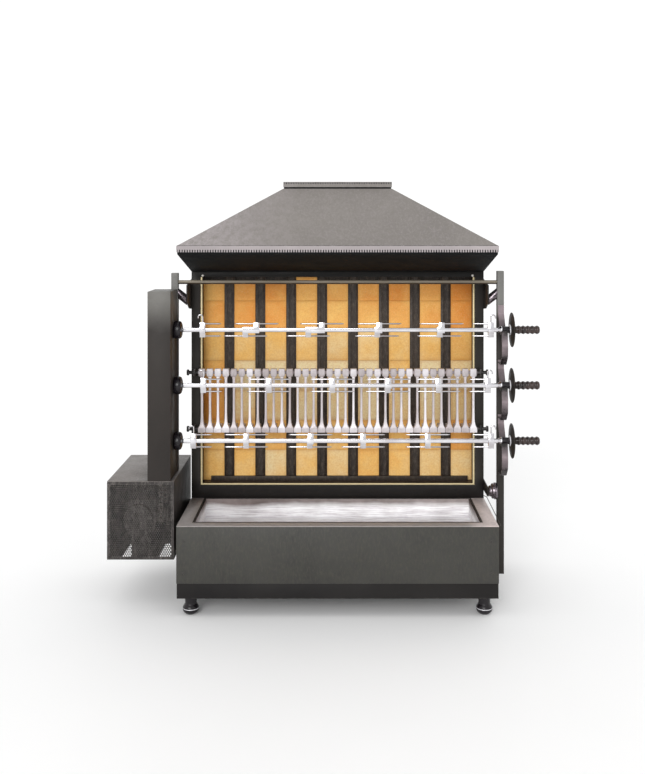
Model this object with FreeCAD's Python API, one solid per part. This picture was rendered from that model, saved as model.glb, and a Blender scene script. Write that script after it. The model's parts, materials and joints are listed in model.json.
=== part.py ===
import FreeCAD, Part

import math
import os

from FreeCAD import Vector

# Charcoal chicken rotisserie with three motor-driven spits, in millimetres.
# Cabinet frame: X = 0 is the cabinet's centre plane, Y = 0 its front face, Z = 0 the floor.
# save() moves every piece so that the origin is the bottom centre of the whole machine.

# Cabinet
CABINET_HALF = 600.0
CABINET_DEPTH = 600.0
SHEET = 2.0
FOOT_HEIGHT = 70.0
FOOT_INSET_X = 48.0
FOOT_INSET_Y = 45.0
FOOT_NECK_R = 22.5
FOOT_NECK_TOP_R = 24.0
FOOT_NECK_Z = 37.0
FOOT_BALL_R = 30.5
FOOT_BALL_Z = 19.0
FOOT_SOLE_R = 18.0
PLINTH_TOP = 126.0
PLINTH_INSET = 1.5
BASE_TOP = 337.0

# Rim and drip tray
RIM_THICK = 3.0
RIM_SIDE = 59.0
RIM_FRONT = 50.0
RIM_BACK_Y = 366.0
RIM_BACK = 10.0
TRAY_GAP = 3.0
TRAY_SHEET = 1.5
TRAY_FLOOR = 265.0
TRAY_LEDGE = 25.0
TRAY_BELOW_RIM = 1.0

# Back unit with the refractory bricks
BACK_FRONT_Y = 367.0
BACK_TOP = 1269.0
FLANGE = 35.0
NICHE_FLOOR = 392.0
NICHE_TOP = 1247.0
BRICK_FACE_Y = 450.0
BRICK_THICK = 30.0
BRICK_COUNT = 9
BRICK_WIDTH = 87.0
BRICK_PITCH = 129.7
BRICK_HEIGHT = 125.0
BRICK_TOP = 1222.0
RAISED_STRIP = 3
RAISED_TOP = 1243.0
COURSE_JOINT = 1.5
REST_LEFT = -529.0
REST_RIGHT = 544.0
REST_TOP = 410.0
REST_DEPTH = 14.0
CHANNEL_SETBACK = 6.0
CHANNEL_SHEET = 3.0
RIDGE_WIDTH = 3.0
RIDGE_DEPTH = 3.0
TRIM_WIDTH = 6.0
TRIM_INNER = 556.0
TRIM_Y = 372.0

# Hood
HOOD_FRONT_Y = 20.0
LIP_BOTTOM = 1358.0
LIP_TOP = 1383.0
FLARE_DROP = 8.0
HOOD_WALL = 4.0
OVERCUT = 1.0
LIP_OVERHANG = 3.0
COLLAR_HALF = 214.0
COLLAR_Y0 = 210.0
COLLAR_Y1 = 410.0
COLLAR_BOTTOM = 1603.0
COLLAR_TOP = 1630.0
COLLAR_SHEET = 3.0

# Posts beside the cabinet
POST_X = 638.0
POST_WIDTH = 27.0
POST_Y = 262.0
POST_DEPTH = 28.0
LEFT_POST_TOP = 1268.0
RIGHT_POST_TOP = 1276.0
RIGHT_POST_BOTTOM = 66.0
TIE_BAR_R = 8.0
TIE_BAR_Z = 1231.0
BRACKET_THICK = 5.0
BRACKET_FRONT_Y = 264.0
STRUT_R = 17.0
STRUT_LOW_Z = 1160.0
STRUT_HIGH_Z = 1186.0
GUSSET_BACK_Y = 427.0
UPPER_GUSSET_Z = (1110.0, 1121.0, 1150.0, 1219.0, 1243.0)
UPPER_GUSSET_SLOPE = 60.0
LOWER_GUSSET_Z = (368.0, 372.0, 380.0, 400.0, 408.0, 412.0)
LOWER_GUSSET_CORNER = 8.0
SPACER_Z = (200.0, 300.0)
SPACER_WIDTH = 40.0
STANDOFF_Z = 394.0
# (distance outwards from the gusset, radius)
STANDOFF_PROFILE = (
    (0.0, 0.0), (0.0, 18.0), (5.0, 22.0), (11.0, 22.0), (11.0, 25.0),
    (14.0, 30.0), (22.0, 30.0), (22.0, 33.0), (33.0, 33.0), (33.0, 0.0),
)

# Spits
SPIT_Y = 200.0
SPIT_Z = (1048.0, 830.0, 612.0)
BAR_HALF = 8.0
BAR_CHAMFER = 2.0
DRUM_LEFT = -640.0
DRUM_RIGHT = -611.0
# (distance from the drum's left face, radius)
DRUM_PROFILE = (
    (0.0, 0.0), (0.0, 32.0), (3.0, 35.0), (20.0, 35.0), (26.0, 31.0), (29.0, 23.0), (29.0, 0.0),
)
SOCKET_DEPTH = 14.0
SOCKET_HALF = 7.3
TIP_HALF = 7.0
TIP_END_GAP = 1.0
CONE_LEFT = 628.0
CONE_RIGHT = 644.0
BAR_INTO_CONE = 4.0
JOURNAL_R = 14.0
JOURNAL_RIGHT = 675.0
STUD_R = 8.0
STUD_RIGHT = 773.0
SHIELD_R = 68.0
SHIELD_LEFT = 678.0
SHIELD_THICK = 3.0
SHIELD_HUB_R = 17.0
SHIELD_NOSE_R = 13.0
SHIELD_DISH = 5.0
HANDLE_LEFT = 694.0
HANDLE_RIGHT = 793.0
HANDLE_ROOT_R = 14.0
HANDLE_RIB_R = 17.0
HANDLE_RIBS = 5
HANDLE_RIB_PITCH = 18.0
HANDLE_RIB_HALF = 7.0
HANDLE_CREST_HALF = 3.5
HANDLE_LAST_RIB_X = 783.0
HANDLE_END_R = 11.0
RUNNING_GAP = 0.06
CLEAR_GAP = 0.3

# Forks on each spit, from left to right: place along the bar, and how far the upper
# prong block stands to the right of the sleeve's middle (the lower one stands as far left).
FORKS = (
    ((-530.0, 0.0), (-340.0, 22.0), (-88.0, 27.0), (160.0, 4.0), (405.0, 4.0), (602.0, 0.0)),
    ((-527.0, 0.0), (-269.0, 0.0), (-20.0, 0.0), (199.0, 2.0), (396.0, 0.0), (590.0, 0.0)),
    ((-566.0, 0.0), (-359.0, 0.0), (-107.0, 2.0), (100.0, 0.0), (354.0, 0.0), (603.0, 0.0)),
)
FORK_BLOCK = 22.0
FORK_BLOCK_DEPTH = 12.0
FORK_BLOCK_TOP = 29.0
FORK_SLEEVE_HALF = 12.0
FORK_GAP = 0.4
FORK_BLOCK_INSET = 2.0
PRONG_R = 3.0
PRONG_OFFSET = 24.0
PRONG_REACH = 76.0
END_PRONG_REACH = 62.0
PRONG_POINT = 10.0
PRONG_TIP_R = 0.8
SCREW_R = 2.5
SCREW_HEAD_R = 7.0
SCREW_HEAD = 5.0
SCREW_LENGTH = 12.0
CANE_RISE = 30.0
CANE_R = 9.0
CANE_DROP = 5.0
CANE_BEND = 8.9

# Spit hooks on the right post
HOOK_LEFT = 640.0
HOOK_WIDTH = 24.0
HOOK_THICK = 6.0
HOOK_ARM_Z = 58.0
HOOK_ARM_RISE = 34.0
HOOK_ARM_BEND = 14.0
HOOK_LIP = 44.0
HOOK_LIP_ANGLE = 118.0
HOOK_LIP_BEND = 5.5
# (Y, Z from the spit's axis, bend radius)
HOOK_BELLY = ((-33.0, -60.0, 20.0), (-30.0, -104.0, 22.0), (4.0, -136.0, 22.0))

# Fire grate
TINE_COUNT = 35
TINE_PITCH = 32.5
TINE_Y = 340.0
TINE_HEAD = 25.0
TINE_HEAD_Z0 = 844.0
TINE_HEAD_Z1 = 874.0
TINE_SHANK = 11.0
TINE_SHANK_THIN = 8.0
TINE_FOOT = 31.5
TINE_FOOT_Z0 = 616.0
TINE_FOOT_Z1 = 642.0
TINE_LEG_BACK_Y = 446.0
TINE_LEG = 14.0
TINE_LEG_HALF = 3.0
TINE_HEAD_EDGE = 4.0
TINE_NECK_DROP = 3.0
TINE_HALF_DEPTH = 12.0
TINE_TAPER_TOP = 40.0
TINE_TAPER_FOOT = 45.0
TINE_FLARE = 16.0
GRATE_ROD_R = 7.0
GRATE_ROD_HALF = 606.0
GRATE_TOP_Z = 859.0
GRATE_LOW_Z = 629.0
GRATE_KNOB_R = 12.0
GRATE_KNOB = 8.0
GRATE_LUG_X = 580.0
GRATE_LUG = 5.0
GRATE_LUG_HALF = 14.0

# Drive: chain cover column, drive box, chain and gear motor
COLUMN_LEFT = -729.0
COLUMN_RIGHT = -641.0
COLUMN_Y0 = 110.0
COLUMN_Y1 = 262.0
COLUMN_TOP = 1204.0
BOX_LEFT = -884.0
BOX_RIGHT = -628.0
BOX_Y0 = 110.0
BOX_Y1 = 530.0
BOX_BOTTOM = 177.0
BOX_TOP = 477.0
CHAIN_SIDE_GAP = 8.0
CHAIN_END_GAP = 6.0
VENT_Y0 = 120.0
VENT_Y1 = 294.0
VENTS_X = ((-832.0, -801.0), (-692.0, -640.0))
SHAFT_R = 10.0
SHAFT_LEFT = -722.0
WALL_HOLE_R = 25.0
BEARING_BOSS_R = 21.0
BEARING_BOSS = 16.0
BEARING_FLANGE = 4.0
BEARING_HALF = 29.0
CHAIN_X = -685.0
CHAIN_PITCH = 19.05
CHAIN_LINKS = 88
SPROCKET_TEETH = 13
ROLLER_R = 6.0
PLATE_HALF = 9.0
PLATE_THICK = 2.0
CHAIN_INNER_HALF = 5.8
SPROCKET_HALF = 3.5
SPROCKET_HUB_R = 18.0
SPROCKET_HUB_HALF = 12.0
TOOTH_DEPTH = 4.0
TOOTH_ROOT_SHARE = 0.32
TOOTH_TIP_SHARE = 0.14
MOTOR_X = -770.0
MOTOR_R = 56.0
MOTOR_Y0 = 128.0
MOTOR_Y1 = 340.0
MOTOR_DROP = 12.0
GEARBOX_LEFT = -812.0
GEARBOX_RIGHT = -706.0
GEARBOX_HALF_Y = 46.0
GEARBOX_HALF_Z = 60.0
STAND_LEFT = -796.0
STAND_RIGHT = -722.0
STAND_INSET = 10.0
STAND_SINK = 40.0
GLAND_R = 11.0
GLAND_BORE_R = 6.0
GLAND_LENGTH = 24.0
GLAND_NUT_R = 16.0
GLAND_NUT = 8.0
GLAND_X = -800.0
GLAND_Z = 225.0

# Fasteners
RIVET_R = 5.0
RIVET_TOP_R = 3.0
RIVET_HEIGHT = 2.0
BASE_SCREW_X = 573.0
HEADER_RIVET_X = 554.0
HEADER_RIVET_Z = 1252.5
BASE_SCREW_Z = (166.0, 283.0)

PITCH_R = CHAIN_PITCH / (2 * math.sin(math.pi / SPROCKET_TEETH))
MOTOR_Z = SPIT_Z[0] - (CHAIN_LINKS * CHAIN_PITCH - 2 * math.pi * PITCH_R) / 2
ORIGIN_SHIFT = Vector(-(BOX_LEFT + HANDLE_RIGHT) / 2, -(CABINET_DEPTH - RIVET_HEIGHT) / 2, 0)
X_AXIS = Vector(1, 0, 0)
Y_AXIS = Vector(0, 1, 0)
Z_AXIS = Vector(0, 0, 1)


def save(name, *solids):
    """Write one node: a single solid, or a group of separate solids."""
    shape = solids[0] if len(solids) == 1 else Part.makeCompound(list(solids))
    moved = shape.copy()
    moved.translate(ORIGIN_SHIFT)
    moved.exportStep(f"parts/{name}.step")


def block(x0, x1, y0, y1, z0, z1):
    return Part.makeBox(x1 - x0, y1 - y0, z1 - z0, Vector(x0, y0, z0))


def rod_x(x0, x1, radius, y, z):
    return Part.makeCylinder(radius, x1 - x0, Vector(x0, y, z), X_AXIS)


def fuse(first, *rest):
    return first.fuse(list(rest)).removeSplitter()


def mirror_x(shape):
    return shape.mirror(Vector(0, 0, 0), X_AXIS)


def both_sides(shape):
    return [shape, mirror_x(shape)]


def prism_x(outline, x0, x1):
    """A solid with a (Y, Z) outline, drawn out along X."""
    points = [Vector(x0, y, z) for y, z in outline]
    face = Part.Face(Part.makePolygon(points + points[:1]))
    return face.extrude(Vector(x1 - x0, 0, 0))


def prism_y(outline, y0, y1):
    """A solid with an (X, Z) outline, drawn out along Y."""
    points = [Vector(x, y0, z) for x, z in outline]
    face = Part.Face(Part.makePolygon(points + points[:1]))
    return face.extrude(Vector(0, y1 - y0, 0))


def turned_x(profile, y, z):
    """A solid of revolution about the X-parallel axis through (y, z); profile holds (x, radius)."""
    points = [Vector(x, y, z + radius) for x, radius in profile]
    face = Part.Face(Part.makePolygon(points + points[:1]))
    return face.revolve(Vector(0, y, z), X_AXIS, 360)


def rounded_path(corners):
    """A wire of straight runs joined by tangent arcs; corners holds (point, bend radius)."""
    edges = []
    start = corners[0][0]
    for before, here, after in zip(corners, corners[1:], corners[2:]):
        back = (before[0] - here[0]).normalize()
        ahead = (after[0] - here[0]).normalize()
        half = back.getAngle(ahead) / 2
        reach = here[1] / math.tan(half)
        middle = here[0] + (back + ahead).normalize() * (here[1] / math.sin(half) - here[1])
        bend_start = here[0] + back * reach
        bend_end = here[0] + ahead * reach
        if (bend_start - start).Length > 1e-6:
            edges.append(Part.makeLine(start, bend_start))
        edges.append(Part.Arc(bend_start, middle, bend_end).toShape())
        start = bend_end
    edges.append(Part.makeLine(start, corners[-1][0]))
    return Part.Wire(edges)


def swept(path, profile, side):
    """A solid of the closed profile wire carried along the path, kept square to the side direction."""
    pipe = Part.BRepOffsetAPI.MakePipeShell(path)
    pipe.setBiNormalMode(side)
    pipe.add(profile)
    pipe.build()
    pipe.makeSolid()
    return pipe.shape()


# ---------------------------------------------------------------- base

def base_shell():
    outer = block(-CABINET_HALF, CABINET_HALF, 0, CABINET_DEPTH, PLINTH_TOP, BASE_TOP)
    inner = block(
        -CABINET_HALF + SHEET, CABINET_HALF - SHEET,
        SHEET, CABINET_DEPTH - SHEET, PLINTH_TOP + SHEET, BASE_TOP,
    )
    ledge = block(
        -CABINET_HALF, -CABINET_HALF + RIM_SIDE + TRAY_LEDGE,
        SHEET, RIM_BACK_Y, TRAY_FLOOR - SHEET, TRAY_FLOOR,
    )
    return fuse(outer.cut(inner), *both_sides(ledge))


def base_plinth():
    """Welded plates of the plinth: its floor, front, back and sides."""
    half = CABINET_HALF - PLINTH_INSET
    y0, y1 = PLINTH_INSET, CABINET_DEPTH - PLINTH_INSET
    floor = block(-half, half, y0, y1, FOOT_HEIGHT, FOOT_HEIGHT + SHEET)
    low = FOOT_HEIGHT + SHEET
    front = block(-half, half, y0, y0 + SHEET, low, PLINTH_TOP)
    back = block(-half, half, y1 - SHEET, y1, low, PLINTH_TOP)
    left = block(-half, -half + SHEET, y0 + SHEET, y1 - SHEET, low, PLINTH_TOP)
    right = block(half - SHEET, half, y0 + SHEET, y1 - SHEET, low, PLINTH_TOP)
    return [floor, front, back, left, right]


def base_rim():
    rim = block(-CABINET_HALF, CABINET_HALF, 0, RIM_BACK_Y, BASE_TOP, BASE_TOP + RIM_THICK)
    opening = block(
        -CABINET_HALF + RIM_SIDE, CABINET_HALF - RIM_SIDE,
        RIM_FRONT, RIM_BACK_Y - RIM_BACK, BASE_TOP, BASE_TOP + RIM_THICK,
    )
    return rim.cut(opening)


def bun_foot(x, y):
    """A turned foot: flattened ball with a flat sole, and a round neck."""

    def at(radius, height):
        return Vector(x + radius, y, height)

    ball = Part.Arc(at(FOOT_SOLE_R, 0), at(FOOT_BALL_R, FOOT_BALL_Z), at(FOOT_NECK_R, FOOT_NECK_Z))
    edges = [
        Part.makeLine(at(0, 0), at(FOOT_SOLE_R, 0)),
        ball.toShape(),
        Part.makeLine(at(FOOT_NECK_R, FOOT_NECK_Z), at(FOOT_NECK_TOP_R, FOOT_HEIGHT)),
        Part.makeLine(at(FOOT_NECK_TOP_R, FOOT_HEIGHT), at(0, FOOT_HEIGHT)),
        Part.makeLine(at(0, FOOT_HEIGHT), at(0, 0)),
    ]
    return Part.Face(Part.Wire(edges)).revolve(Vector(x, y, 0), Z_AXIS, 360)


def bun_feet():
    x = CABINET_HALF - FOOT_INSET_X
    depths = (FOOT_INSET_Y, CABINET_DEPTH - FOOT_INSET_Y)
    return [bun_foot(side * x, y) for side in (-1, 1) for y in depths]


def drip_tray():
    half = CABINET_HALF - RIM_SIDE - TRAY_GAP
    y0 = RIM_FRONT + TRAY_GAP
    y1 = RIM_BACK_Y - RIM_BACK - TRAY_GAP
    top = BASE_TOP + RIM_THICK - TRAY_BELOW_RIM
    outer = block(-half, half, y0, y1, TRAY_FLOOR, top)
    inner = block(
        -half + TRAY_SHEET, half - TRAY_SHEET,
        y0 + TRAY_SHEET, y1 - TRAY_SHEET, TRAY_FLOOR + TRAY_SHEET, top,
    )
    return outer.cut(inner)


# ---------------------------------------------------------------- back unit

def back_casing():
    outer = block(-CABINET_HALF, CABINET_HALF, BACK_FRONT_Y, CABINET_DEPTH, BASE_TOP, BACK_TOP)
    inner = block(
        -CABINET_HALF + SHEET, CABINET_HALF - SHEET,
        BACK_FRONT_Y + SHEET, CABINET_DEPTH - SHEET, BASE_TOP + SHEET, BACK_TOP,
    )
    mouth_half = CABINET_HALF - FLANGE
    mouth = block(
        -mouth_half, mouth_half, BACK_FRONT_Y, BACK_FRONT_Y + SHEET, NICHE_FLOOR, NICHE_TOP,
    )
    return outer.cut(inner).cut(mouth)


def channel_centres():
    """Middles of the dark channels between the brick strips."""
    return [(i - (BRICK_COUNT - 2) / 2) * BRICK_PITCH for i in range(BRICK_COUNT - 1)]


def firebox_liner():
    """Welded liner of the niche: back plate, floor, two reveals and the rest in front of the bricks."""
    half = CABINET_HALF - FLANGE
    y0 = BACK_FRONT_Y + SHEET
    y1 = BRICK_FACE_Y + BRICK_THICK
    back = block(-half, half, y1, y1 + SHEET, NICHE_FLOOR - SHEET, NICHE_TOP)
    floor = block(-half, half, y0, y1, NICHE_FLOOR - SHEET, NICHE_FLOOR)
    reveal = block(half - SHEET, half, y0, y1, NICHE_FLOOR, NICHE_TOP)
    rest = block(
        REST_LEFT, REST_RIGHT, BRICK_FACE_Y - REST_DEPTH, BRICK_FACE_Y, NICHE_FLOOR, REST_TOP,
    )
    return [back, floor, *both_sides(reveal), rest]


def brick_channels():
    """Ribbed channels on the liner's back plate, one between each two strips of bricks."""
    gap_half = (BRICK_PITCH - BRICK_WIDTH) / 2
    hollow_half = gap_half - CHANNEL_SHEET
    face_y = BRICK_FACE_Y + CHANNEL_SETBACK
    back_y = BRICK_FACE_Y + BRICK_THICK
    channels = []
    for x in channel_centres():
        bar = block(x - gap_half, x + gap_half, face_y, back_y, NICHE_FLOOR, NICHE_TOP)
        bar = bar.cut(block(
            x - hollow_half, x + hollow_half, face_y + CHANNEL_SHEET, back_y, NICHE_FLOOR, NICHE_TOP,
        ))
        for side in (-1, 1):
            ridge_x = x + side * gap_half / 2
            bar = fuse(bar, block(
                ridge_x - RIDGE_WIDTH / 2, ridge_x + RIDGE_WIDTH / 2,
                face_y - RIDGE_DEPTH, face_y, NICHE_FLOOR, NICHE_TOP,
            ))
        channels.append(bar)
    return channels


def fire_bricks():
    """Courses of bricks in each strip, the top one cut to length; one strip stands a little higher."""
    bricks = []
    for strip in range(BRICK_COUNT):
        x = (strip - (BRICK_COUNT - 1) / 2) * BRICK_PITCH
        top = RAISED_TOP if strip == RAISED_STRIP else BRICK_TOP
        z0 = NICHE_FLOOR
        while z0 < top:
            z1 = min(z0 + BRICK_HEIGHT, top)
            bricks.append(block(
                x - BRICK_WIDTH / 2, x + BRICK_WIDTH / 2,
                BRICK_FACE_Y, BRICK_FACE_Y + BRICK_THICK, z0, z1 - COURSE_JOINT,
            ))
            z0 += BRICK_HEIGHT
    return bricks


def brick_trim():
    """Pale strip around the niche mouth, inside the reveals: left, right and bottom."""
    outer_half = CABINET_HALF - FLANGE - SHEET
    outer = block(-outer_half, outer_half, TRIM_Y, TRIM_Y + SHEET, NICHE_FLOOR, NICHE_TOP)
    inner = block(
        -TRIM_INNER, TRIM_INNER, TRIM_Y, TRIM_Y + SHEET, NICHE_FLOOR + TRIM_WIDTH, NICHE_TOP,
    )
    return outer.cut(inner)


# ---------------------------------------------------------------- hood

def hood_flare():
    """Sloping soffit, side cheeks and back wall between the back unit and the hood's lip."""
    drop_z = LIP_BOTTOM - FLARE_DROP
    outline = (
        (HOOD_FRONT_Y, LIP_BOTTOM), (HOOD_FRONT_Y, drop_z), (BACK_FRONT_Y, BACK_TOP),
        (CABINET_DEPTH, BACK_TOP), (CABINET_DEPTH, LIP_BOTTOM),
    )
    slope = (drop_z - BACK_TOP) / (BACK_FRONT_Y - HOOD_FRONT_Y)
    rise = SHEET * math.hypot(1, slope)
    hollow = (
        (HOOD_FRONT_Y + SHEET, drop_z - SHEET * slope + rise),
        (BACK_FRONT_Y + SHEET, BACK_TOP - SHEET * slope + rise),
        (BACK_FRONT_Y + SHEET, BACK_TOP - OVERCUT), (CABINET_DEPTH - SHEET, BACK_TOP - OVERCUT),
        (CABINET_DEPTH - SHEET, LIP_BOTTOM + OVERCUT), (HOOD_FRONT_Y + SHEET, LIP_BOTTOM + OVERCUT),
    )
    outer = prism_x(outline, -CABINET_HALF, CABINET_HALF)
    return outer.cut(prism_x(hollow, -CABINET_HALF + SHEET, CABINET_HALF - SHEET))


def hood_lip():
    half = CABINET_HALF + LIP_OVERHANG
    y0 = HOOD_FRONT_Y - LIP_OVERHANG
    outer = block(-half, half, y0, CABINET_DEPTH, LIP_BOTTOM, LIP_TOP)
    inner = block(
        -half + LIP_OVERHANG + SHEET, half - LIP_OVERHANG - SHEET,
        y0 + LIP_OVERHANG + SHEET, CABINET_DEPTH - LIP_OVERHANG, LIP_BOTTOM, LIP_TOP,
    )
    return outer.cut(inner)


def hood_plate(outer, inner):
    """One sloping plate between four outer and four inner corners, with mitred side edges."""
    quads = [outer, inner]
    for i in range(4):
        after = (i + 1) % 4
        quads.append([outer[i], outer[after], inner[after], inner[i]])
    faces = [Part.Face(Part.makePolygon(corners + corners[:1])) for corners in quads]
    return Part.Solid(Part.Shell(faces))


def hood_shell():
    """Four mitred plates, welded into a pyramid that is open below and at the flue."""

    def corners(inset):
        half, top_half = CABINET_HALF - inset, COLLAR_HALF - inset
        y0, y1 = HOOD_FRONT_Y + inset, CABINET_DEPTH - inset
        top_y0, top_y1 = COLLAR_Y0 + inset, COLLAR_Y1 - inset
        low = [Vector(x, y, LIP_TOP) for x, y in ((-half, y0), (half, y0), (half, y1), (-half, y1))]
        high = [
            Vector(x, y, COLLAR_BOTTOM)
            for x, y in ((-top_half, top_y0), (top_half, top_y0), (top_half, top_y1), (-top_half, top_y1))
        ]
        return [[low[i], low[(i + 1) % 4], high[(i + 1) % 4], high[i]] for i in range(4)]

    return [hood_plate(outer, inner) for outer, inner in zip(corners(0), corners(HOOD_WALL))]


def flue_collar():
    outer = block(-COLLAR_HALF, COLLAR_HALF, COLLAR_Y0, COLLAR_Y1, COLLAR_BOTTOM, COLLAR_TOP)
    inner = block(
        -COLLAR_HALF + COLLAR_SHEET, COLLAR_HALF - COLLAR_SHEET,
        COLLAR_Y0 + COLLAR_SHEET, COLLAR_Y1 - COLLAR_SHEET, COLLAR_BOTTOM, COLLAR_TOP,
    )
    return outer.cut(inner)


# ---------------------------------------------------------------- posts and their fixings

def post(side, bottom, top):
    x0, x1 = sorted((side * POST_X, side * (POST_X + POST_WIDTH)))
    return block(x0, x1, POST_Y, POST_Y + POST_DEPTH, bottom, top)


def post_brackets():
    """Flat gussets on the cabinet sides that reach forward to the posts, and the drive box's spacers."""
    front, back = BRACKET_FRONT_Y, GUSSET_BACK_Y
    z = UPPER_GUSSET_Z
    upper = (
        (back, z[4]), (front, z[3]), (front, z[2]), (front + UPPER_GUSSET_SLOPE, z[1]), (back, z[0]),
    )
    corner = front + LOWER_GUSSET_CORNER
    z = LOWER_GUSSET_Z
    lower = ((back, z[5]), (corner, z[4]), (front, z[3]), (front, z[2]), (corner, z[1]), (back, z[0]))
    right_upper = prism_x(upper, CABINET_HALF, CABINET_HALF + BRACKET_THICK)
    right_lower = prism_x(lower, CABINET_HALF, CABINET_HALF + BRACKET_THICK)
    spacers = [
        block(BOX_RIGHT, -CABINET_HALF, y, y + SPACER_WIDTH, SPACER_Z[0], SPACER_Z[1])
        for y in (BOX_Y0 + SPACER_WIDTH, BOX_Y1 - 2 * SPACER_WIDTH)
    ]
    return [right_upper, mirror_x(right_upper), right_lower, *spacers]


def inclined_strut():
    """Round strut from the right upper gusset up to the post, its ends cut square to both."""
    y = POST_Y + POST_DEPTH / 2
    low = Vector(CABINET_HALF + BRACKET_THICK, y, STRUT_LOW_Z)
    high = Vector(POST_X, y, STRUT_HIGH_Z)
    along = (high - low).normalize()
    margin = 3 * STRUT_R
    length = (high - low).Length + 2 * margin
    strut = Part.makeCylinder(STRUT_R, length, low - along * margin, along)
    keep = block(low.x, high.x, 0, CABINET_DEPTH, UPPER_GUSSET_Z[0], BACK_TOP)
    return strut.common(keep)


def stepped_standoff():
    gusset_x = CABINET_HALF + BRACKET_THICK
    profile = [(gusset_x + along, radius) for along, radius in STANDOFF_PROFILE]
    return turned_x(profile, POST_Y + POST_DEPTH / 2, STANDOFF_Z)


def post_standoffs():
    strut = inclined_strut()
    return [strut, mirror_x(strut), stepped_standoff()]


def spit_hook(z):
    """Bent flat bar: arm down from the post, seat under the journal, belly, and tail to the post."""
    seat_r = JOURNAL_R + CLEAR_GAP + HOOK_THICK / 2
    arm_y = POST_Y - HOOK_THICK / 2 - SPIT_Y
    reach = math.hypot(arm_y, HOOK_ARM_Z)
    arm_turn = math.atan2(-HOOK_ARM_Z, -arm_y) + math.asin(seat_r / reach)
    lip_turn = math.radians(HOOK_LIP_ANGLE)
    arm = Vector(0, math.cos(arm_turn), math.sin(arm_turn))
    lip = Vector(0, math.cos(lip_turn), math.sin(lip_turn))
    half = (math.pi - arm.getAngle(lip)) / 2
    bottom = (arm - lip).normalize() * (seat_r / math.sin(half))
    tip = bottom + lip * HOOK_LIP

    def at(y, height):
        return Vector(HOOK_LEFT, SPIT_Y + y, z + height)

    corners = [
        (at(arm_y, HOOK_ARM_Z + HOOK_ARM_RISE), 0),
        (at(arm_y, HOOK_ARM_Z), HOOK_ARM_BEND),
        (at(bottom.y, bottom.z), seat_r),
        (at(tip.y, tip.z), HOOK_LIP_BEND),
        *[(at(y, height), bend) for y, height, bend in HOOK_BELLY],
        (at(POST_Y - SPIT_Y, HOOK_BELLY[-1][1]), 0),
    ]
    path = rounded_path(corners)
    start = corners[0][0]
    t = HOOK_THICK / 2
    profile = Part.makePolygon([
        start + Vector(0, -t, 0), start + Vector(HOOK_WIDTH, -t, 0),
        start + Vector(HOOK_WIDTH, t, 0), start + Vector(0, t, 0), start + Vector(0, -t, 0),
    ])
    return swept(path, profile, X_AXIS)


# ---------------------------------------------------------------- fire grate

def grate_rods():
    rods = []
    for z in (GRATE_TOP_Z, GRATE_LOW_Z):
        rod = rod_x(-GRATE_ROD_HALF, GRATE_ROD_HALF, GRATE_ROD_R, TINE_Y, z)
        knob = rod_x(GRATE_ROD_HALF, GRATE_ROD_HALF + GRATE_KNOB, GRATE_KNOB_R, TINE_Y, z)
        hole = rod_x(GRATE_LUG_X, GRATE_LUG_X + GRATE_LUG, GRATE_ROD_R + CLEAR_GAP, TINE_Y, z)
        lug = block(
            GRATE_LUG_X, GRATE_LUG_X + GRATE_LUG,
            TINE_Y - GRATE_LUG_HALF, BACK_FRONT_Y, z - GRATE_LUG_HALF, z + GRATE_LUG_HALF,
        ).cut(hole)
        rods.append(fuse(rod, *both_sides(knob)))
        rods.extend(both_sides(lug))
    return rods


def grate_tine(x):
    """One cast finger: sleeve on the top rod, tapering shank, flared foot and a leg to the back."""
    head_half = TINE_HEAD / 2
    foot_half = TINE_FOOT / 2
    thin = TINE_SHANK_THIN / 2
    wide = TINE_SHANK / 2
    right_edge = (
        (head_half, TINE_HEAD_Z1), (head_half, TINE_HEAD_Z0 + TINE_HEAD_EDGE),
        (wide, TINE_HEAD_Z0 - TINE_NECK_DROP),
        (thin, TINE_HEAD_Z0 - TINE_TAPER_TOP), (thin, TINE_FOOT_Z1 + TINE_TAPER_FOOT),
        (wide, TINE_FOOT_Z1), (foot_half, TINE_FOOT_Z1 - TINE_FLARE), (foot_half, TINE_FOOT_Z0),
    )
    outline = [(x + dx, z) for dx, z in right_edge]
    outline += [(x - dx, z) for dx, z in reversed(right_edge)]
    body = prism_y(outline, TINE_Y - TINE_HALF_DEPTH, TINE_Y + TINE_HALF_DEPTH)
    leg = block(
        x - TINE_LEG_HALF, x + TINE_LEG_HALF,
        TINE_Y + TINE_HALF_DEPTH, TINE_LEG_BACK_Y, TINE_FOOT_Z0, TINE_FOOT_Z0 + TINE_LEG,
    )
    tine = fuse(body, leg)
    for z in (GRATE_TOP_Z, GRATE_LOW_Z):
        tine = tine.cut(rod_x(x - TINE_PITCH, x + TINE_PITCH, GRATE_ROD_R + CLEAR_GAP, TINE_Y, z))
    return tine


def grate_tines():
    first = -(TINE_COUNT - 1) / 2 * TINE_PITCH
    pattern = grate_tine(0)
    tines = []
    for i in range(TINE_COUNT):
        tine = pattern.copy()
        tine.translate(Vector(first + i * TINE_PITCH, 0, 0))
        tines.append(tine)
    return tines


# ---------------------------------------------------------------- drive

def chain_cover():
    outer = block(COLUMN_LEFT, COLUMN_RIGHT, COLUMN_Y0, COLUMN_Y1, BOX_TOP, COLUMN_TOP)
    inner = block(
        COLUMN_LEFT + SHEET, COLUMN_RIGHT - SHEET,
        COLUMN_Y0 + SHEET, COLUMN_Y1 - SHEET, BOX_TOP, COLUMN_TOP - SHEET,
    )
    cover = outer.cut(inner)
    for z in SPIT_Z:
        cover = cover.cut(rod_x(COLUMN_RIGHT - 3 * SHEET, COLUMN_RIGHT, WALL_HOLE_R, SPIT_Y, z))
    return cover


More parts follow.
